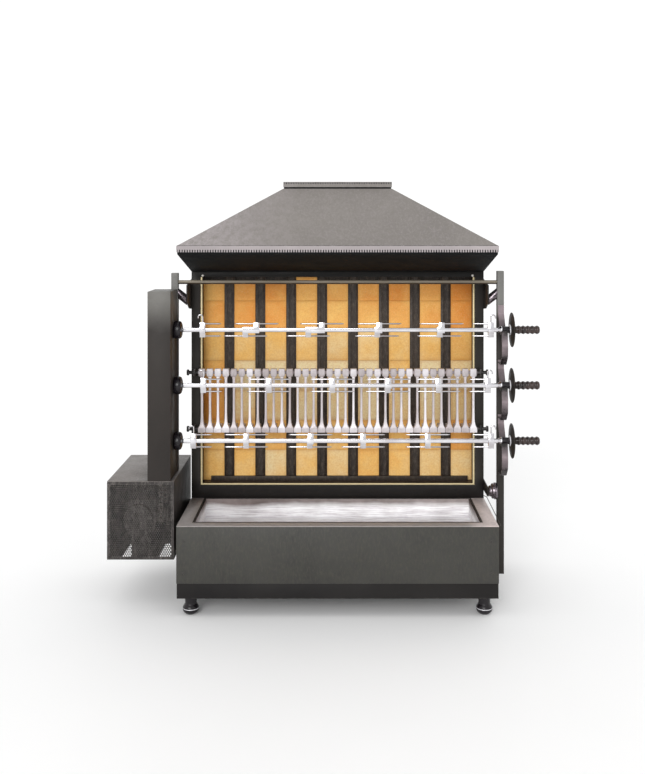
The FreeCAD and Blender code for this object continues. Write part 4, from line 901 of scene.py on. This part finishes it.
def perforated_sheet(bm, origin, along, up, width, height, pitch, hole_r, thick):
    """Staggered round holes in the plane of along and up; returns the field left inside the border."""
    along, up = Vector(along), Vector(up)
    normal = along.cross(up).normalized()
    row_pitch = pitch * math.sqrt(3) / 2
    columns = int((width - 2 * SCREEN_BORDER) / pitch - 0.5)
    rows = int((height - 2 * SCREEN_BORDER) / row_pitch)
    field_w = (columns + 0.5) * pitch
    field_h = rows * row_pitch
    start_u, start_v = (width - field_w) / 2, (height - field_h) / 2
    cache = {}

    def vertex(u, v, layer):
        key = (round(u * 1e6), round(v * 1e6), layer)
        if key not in cache:
            cache[key] = bm.verts.new(Vector(origin) + along * u + up * v + normal * (thick * layer))
        return cache[key]

    def quad(points, layer):
        bm.faces.new([vertex(u, v, layer) for u, v in points])

    for row in range(rows):
        v0 = start_v + row * row_pitch
        v1 = v0 + row_pitch
        shift = pitch / 2 if row % 2 else 0.0
        for column in range(columns):
            u0 = start_u + shift + column * pitch
            u1 = u0 + pitch
            cu, cv = (u0 + u1) / 2, (v0 + v1) / 2
            rim = [
                (cu + hole_r * math.cos(math.radians(a)), cv + hole_r * math.sin(math.radians(a)))
                for a in range(0, 360, 45)
            ]
            cell = [(u1, cv), (u1, v1), (cu, v1), (u0, v1), (u0, cv), (u0, v0), (cu, v0), (u1, v0)]
            for layer in (0, 1):
                for k in range(8):
                    n = (k + 1) % 8
                    quad((cell[k], cell[n], rim[n], rim[k]), layer)
            for k in range(8):
                n = (k + 1) % 8
                bm.faces.new((
                    vertex(*rim[k], 0), vertex(*rim[n], 0), vertex(*rim[n], 1), vertex(*rim[k], 1),
                ))
        side = start_u if shift else start_u + columns * pitch
        for layer in (0, 1):
            quad(((side, v0), (side + pitch / 2, v0), (side + pitch / 2, v1), (side, v1)), layer)
    return start_u, start_v, field_w, field_h


def frame_strips(bm, origin, along, up, width, height, inner, thick):
    """Plain border strips round the perforated field."""
    along, up = Vector(along), Vector(up)
    normal = along.cross(up).normalized()
    u0, v0, w, h = inner
    for a, b, c, d in (
        (0, width, 0, v0), (0, width, v0 + h, height), (0, u0, v0, v0 + h), (u0 + w, width, v0, v0 + h),
    ):
        base = Vector(origin)
        corners = [base + along * u + up * v + normal * t for u in (a, b) for v in (c, d) for t in (0, thick)]
        low = Vector(min(p[i] for p in corners) for i in range(3))
        high = Vector(max(p[i] for p in corners) for i in range(3))
        add_box(bm, low, high)


def build_drive():
    refine("chain_cover", COVER_PAINT, 1.6 * MM)
    refine("drive_box_top", TOP_PAINT, 0.7 * MM)
    lo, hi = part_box("drive_box")
    front = lo.y + SCREEN_THICK
    bm = bmesh.new()
    origin = Vector((lo.x, front, lo.z))
    width, height = hi.x - lo.x, hi.z - lo.z
    field = perforated_sheet(
        bm, origin, X_AXIS, Z_AXIS, width, height, SCREEN_PITCH, SCREEN_HOLE_R, SCREEN_THICK,
    )
    frame_strips(bm, origin, X_AXIS, Z_AXIS, width, height, field, SCREEN_THICK)
    add_piece("drive_box_screen", mesh_from(bm, "screen"), BOX_PAINT, OVEN, ("drive_box",), 30)
    bm = bmesh.new()
    add_box(bm, (lo.x, front, lo.z), (lo.x + BOX_FOLD, hi.y, hi.z))
    add_box(bm, (hi.x - BOX_FOLD, front, lo.z), (hi.x, hi.y, hi.z))
    add_box(bm, (lo.x, hi.y - BOX_FOLD, lo.z), (hi.x, hi.y, hi.z))
    floor_top = lo.z + BOX_FOLD
    cuts = [0.0] + [edge for vent in VENTS_X for edge in vent] + [width]
    for x0, x1 in zip(cuts, cuts[1:]):
        if (x0, x1) in VENTS_X:
            add_box(bm, (lo.x + x0, front, lo.z), (lo.x + x1, lo.y + VENTS_Y[0], floor_top))
            add_box(bm, (lo.x + x0, lo.y + VENTS_Y[1], lo.z), (lo.x + x1, hi.y, floor_top))
        else:
            add_box(bm, (lo.x + x0, front, lo.z), (lo.x + x1, hi.y, floor_top))
    add_piece("drive_box_housing", mesh_from(bm, "housing"), BOX_SIDE_PAINT, OVEN, (), 30)
    refine("gear_motor", MOTOR_METAL, 3 * MM, 3)
    for node, material in (
        ("bearing_blocks", MOTOR_METAL), ("drive_chain", CHAIN_STEEL), ("motor_sprocket", CHAIN_STEEL),
        ("cable_gland", GLAND_PLASTIC), ("screws", SCREW_STEEL),
    ):
        shown = frame["nodes"][node]
        shown.data.materials.clear()
        shown.data.materials.append(material)


# ---------------------------------------------------------------- spits

def build_spindle(spit):
    refine(f"drive_spindle_{spit}", GLOSS_BLACK, 0.8 * MM)


SPIT_HALF, SPIT_CHAMFER = 8 * MM, 2.6 * MM
TENON_LENGTH, TENON_HALF = 14 * MM, 7 * MM
CONE_START, JOURNAL_START, CONE_OVERLAP = 47 * MM, 31 * MM, 3 * MM
CONE_PROFILE = ((0, 0), (0, 8), (3, 9.5), (10, 13.4), (14, 16.2), (16, 16.2), (17.5, 15.2), (17.5, 0))
WASHER_PROFILE = ((0.2, 0), (0.2, 20.4), (0.8, 21), (2.6, 21), (3.2, 20.4), (3.2, 0))
SHIELD_PROFILE = (
    (3.2, 0), (3.2, 20), (4.4, 34), (7.6, 60), (8.4, 65.5), (8.0, 67.0), (8.8, 67.9), (10.4, 67.9),
    (11.2, 67.0), (10.9, 65), (9.8, 60), (6.8, 34), (5.4, 22), (6.0, 17), (12, 15), (18.5, 14), (18.5, 0),
)
JOURNAL_R, JOURNAL_GROOVE_R = 14, 12.4
RIB_COUNT, RIB_PITCH, RIB_STEPS, RIB_HEIGHT = 5, 18.0, 4, 3.3
GRIP_NECK_R, GRIP_END_R, GRIP_END_GAP = 13.6, 12.5, 10
TURNED_SEGMENTS, SHIELD_SEGMENTS, GRIP_SEGMENTS = 48, 72, 56


def journal_profile(length):
    """A plain journal with one groove near its right end, in millimetres."""
    return (
        (0.5, 0), (0.5, JOURNAL_R - 0.8), (1.5, JOURNAL_R), (length - 7, JOURNAL_R),
        (length - 6, JOURNAL_GROOVE_R), (length - 4.5, JOURNAL_GROOVE_R), (length - 3.5, JOURNAL_R),
        (length, JOURNAL_R), (length, 0),
    )


def grip_profile(length):
    """A handle with rounded ribs, plain near the heat shield, in millimetres."""
    first = length - GRIP_END_GAP - (RIB_COUNT - 1) * RIB_PITCH
    profile = [(0, 0), (0, GRIP_END_R), (1.5, 14)]
    for rib in range(RIB_COUNT):
        middle = first + rib * RIB_PITCH
        for step in range(-RIB_STEPS, RIB_STEPS + 1):
            swell = 0.5 + 0.5 * math.cos(math.pi * step / (RIB_STEPS + 0.6))
            profile.append((middle + step * RIB_PITCH / 9.5, GRIP_NECK_R + RIB_HEIGHT * swell))
    return profile + [(length - 1.2, GRIP_END_R), (length, 9), (length, 0)]


def build_spit(spit):
    y, z = spit_axis(spit)
    body = f"spit_{spit}"
    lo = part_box(f"spit_bar_{spit}")[0]
    journal_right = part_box(f"heat_shield_{spit}")[0].x
    cone_left, cone_right = journal_right - CONE_START, journal_right - JOURNAL_START

    bm = bmesh.new()
    for x0, x1, half in (
        (lo.x + TENON_LENGTH, cone_left + CONE_OVERLAP, SPIT_HALF), (lo.x, lo.x + TENON_LENGTH, TENON_HALF),
    ):
        add_box(bm, (x0, y - half, z - half), (x1, y + half, z + half))
    bevel_edges(bm, SPIT_CHAMFER, 3)
    cone = rounded(in_metres(CONE_PROFILE), 0.8 * MM)
    add_turned(bm, cone, (cone_left, y, z), X_AXIS, TURNED_SEGMENTS)
    add_piece(f"spit_bar_{spit}_plated", mesh_from(bm, "spit"), CHROME, body, (f"spit_bar_{spit}",))

    bm = bmesh.new()
    journal = rounded(in_metres(journal_profile((journal_right - cone_right) / MM)), 0.6 * MM)
    add_turned(bm, journal, (cone_right, y, z), X_AXIS, TURNED_SEGMENTS)
    add_piece(f"journal_{spit}", mesh_from(bm, "journal"), GLOSS_BLACK, body)

    bm = bmesh.new()
    washer = rounded(in_metres(WASHER_PROFILE), 0.4 * MM)
    add_turned(bm, washer, (journal_right, y, z), X_AXIS, TURNED_SEGMENTS)
    # the washer's near-white zinc is partly a painted glint
    add_piece(f"shield_washer_{spit}", mesh_from(bm, "washer"), ZINC_GLINT, body)

    bm = bmesh.new()
    disc = rounded(in_metres(SHIELD_PROFILE), 1.2 * MM)
    add_turned(bm, disc, (journal_right, y, z), X_AXIS, SHIELD_SEGMENTS)
    add_piece(
        f"heat_shield_{spit}_spun", mesh_from(bm, "shield"), DARK_PAINT, body,
        (f"heat_shield_{spit}",), 60,
    )

    bm = bmesh.new()
    grip_lo, grip_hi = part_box(f"handle_grip_{spit}")
    grip = in_metres(grip_profile((grip_hi.x - grip_lo.x) / MM))
    add_turned(bm, grip, (grip_lo.x, y, z), X_AXIS, GRIP_SEGMENTS)
    add_piece(
        f"handle_grip_{spit}_moulded", mesh_from(bm, "grip"), GRIP_PLASTIC, body,
        (f"handle_grip_{spit}",), 60,
    )


def build_forks(spit):
    for place in range(1, FORKS_PER_SPIT + 1):
        refine(f"fork_{spit}_{place}", CHROME, 0.7 * MM, 2)


# ---------------------------------------------------------------- stage, light and camera

FLOOR_REACH = 14.0
WORLD_BEHIND, WORLD_AHEAD = 0.8, 1.06
SUN_ENERGY, SUN_ANGLE = 1.5, math.radians(34)
SUN_DIRECTION = (0.22, 0.9, -0.36)
EYE_AWAY, EYE_HEIGHT = 3.5, 1.456
LENS, SENSOR, LENS_SHIFT = 43.8, 36, (-0.0195, -0.208)
VIEW_LIMIT = 100


def build_stage():
    mesh = bpy.data.meshes.new("floor")
    corners = [(x * FLOOR_REACH, y * FLOOR_REACH, 0) for x, y in ((-1, -1), (1, -1), (1, 1), (-1, 1))]
    mesh.from_pydata(corners, [], [(0, 1, 2, 3)])
    floor = bpy.data.objects.new("floor", mesh)
    bpy.context.scene.collection.objects.link(floor)
    g = Graph("pale_floor")
    colour = g.blend(g.spread(g.noise(0.8, 3), 0.3, 0.7), (0.93, 0.93, 0.93, 1), (0.95, 0.95, 0.95, 1))
    floor.data.materials.append(g.finish(colour, 0.7))
    world = bpy.data.worlds.new("studio")
    world.use_nodes = True
    tree = world.node_tree
    place = tree.nodes.new("ShaderNodeTexCoord").outputs["Generated"]
    split = tree.nodes.new("ShaderNodeSeparateXYZ")
    ahead = tree.nodes.new("ShaderNodeMapRange")
    ahead.inputs["From Min"].default_value = -0.5
    ahead.inputs["From Max"].default_value = 0.1
    ahead.inputs["To Min"].default_value = WORLD_BEHIND
    ahead.inputs["To Max"].default_value = WORLD_AHEAD
    tree.links.new(place, split.inputs[0])
    tree.links.new(split.outputs["Y"], ahead.inputs["Value"])
    background = tree.nodes["Background"]
    background.inputs["Color"].default_value = (1, 1, 1, 1)
    tree.links.new(ahead.outputs["Result"], background.inputs["Strength"])
    bpy.context.scene.world = world


def build_light_and_camera():
    sun = bpy.data.lights.new("soft_sun", "SUN")
    sun.energy = SUN_ENERGY
    sun.angle = SUN_ANGLE
    lamp = bpy.data.objects.new("soft_sun", sun)
    lamp.rotation_mode = "QUATERNION"
    lamp.rotation_quaternion = Vector(SUN_DIRECTION).to_track_quat("-Z", "Y")
    bpy.context.scene.collection.objects.link(lamp)
    camera = bpy.data.cameras.new("view")
    camera.sensor_width = SENSOR
    camera.lens = LENS
    camera.shift_x, camera.shift_y = LENS_SHIFT
    camera.clip_end = VIEW_LIMIT
    eye = bpy.data.objects.new("view", camera)
    eye.location = (CENTRE_X, FRONT_Y - EYE_AWAY, EYE_HEIGHT)
    eye.rotation_euler = (math.radians(90), 0, 0)
    bpy.context.scene.collection.objects.link(eye)
    bpy.context.scene.camera = eye
    bpy.context.scene.view_settings.view_transform = "Standard"


def main():
    build_stage()
    build_light_and_camera()
    build_base()
    build_back_unit()
    build_hood()
    build_posts()
    build_grate()
    build_drive()
    for spit in SPITS:
        build_spindle(spit)
        build_spit(spit)
        build_forks(spit)


main()
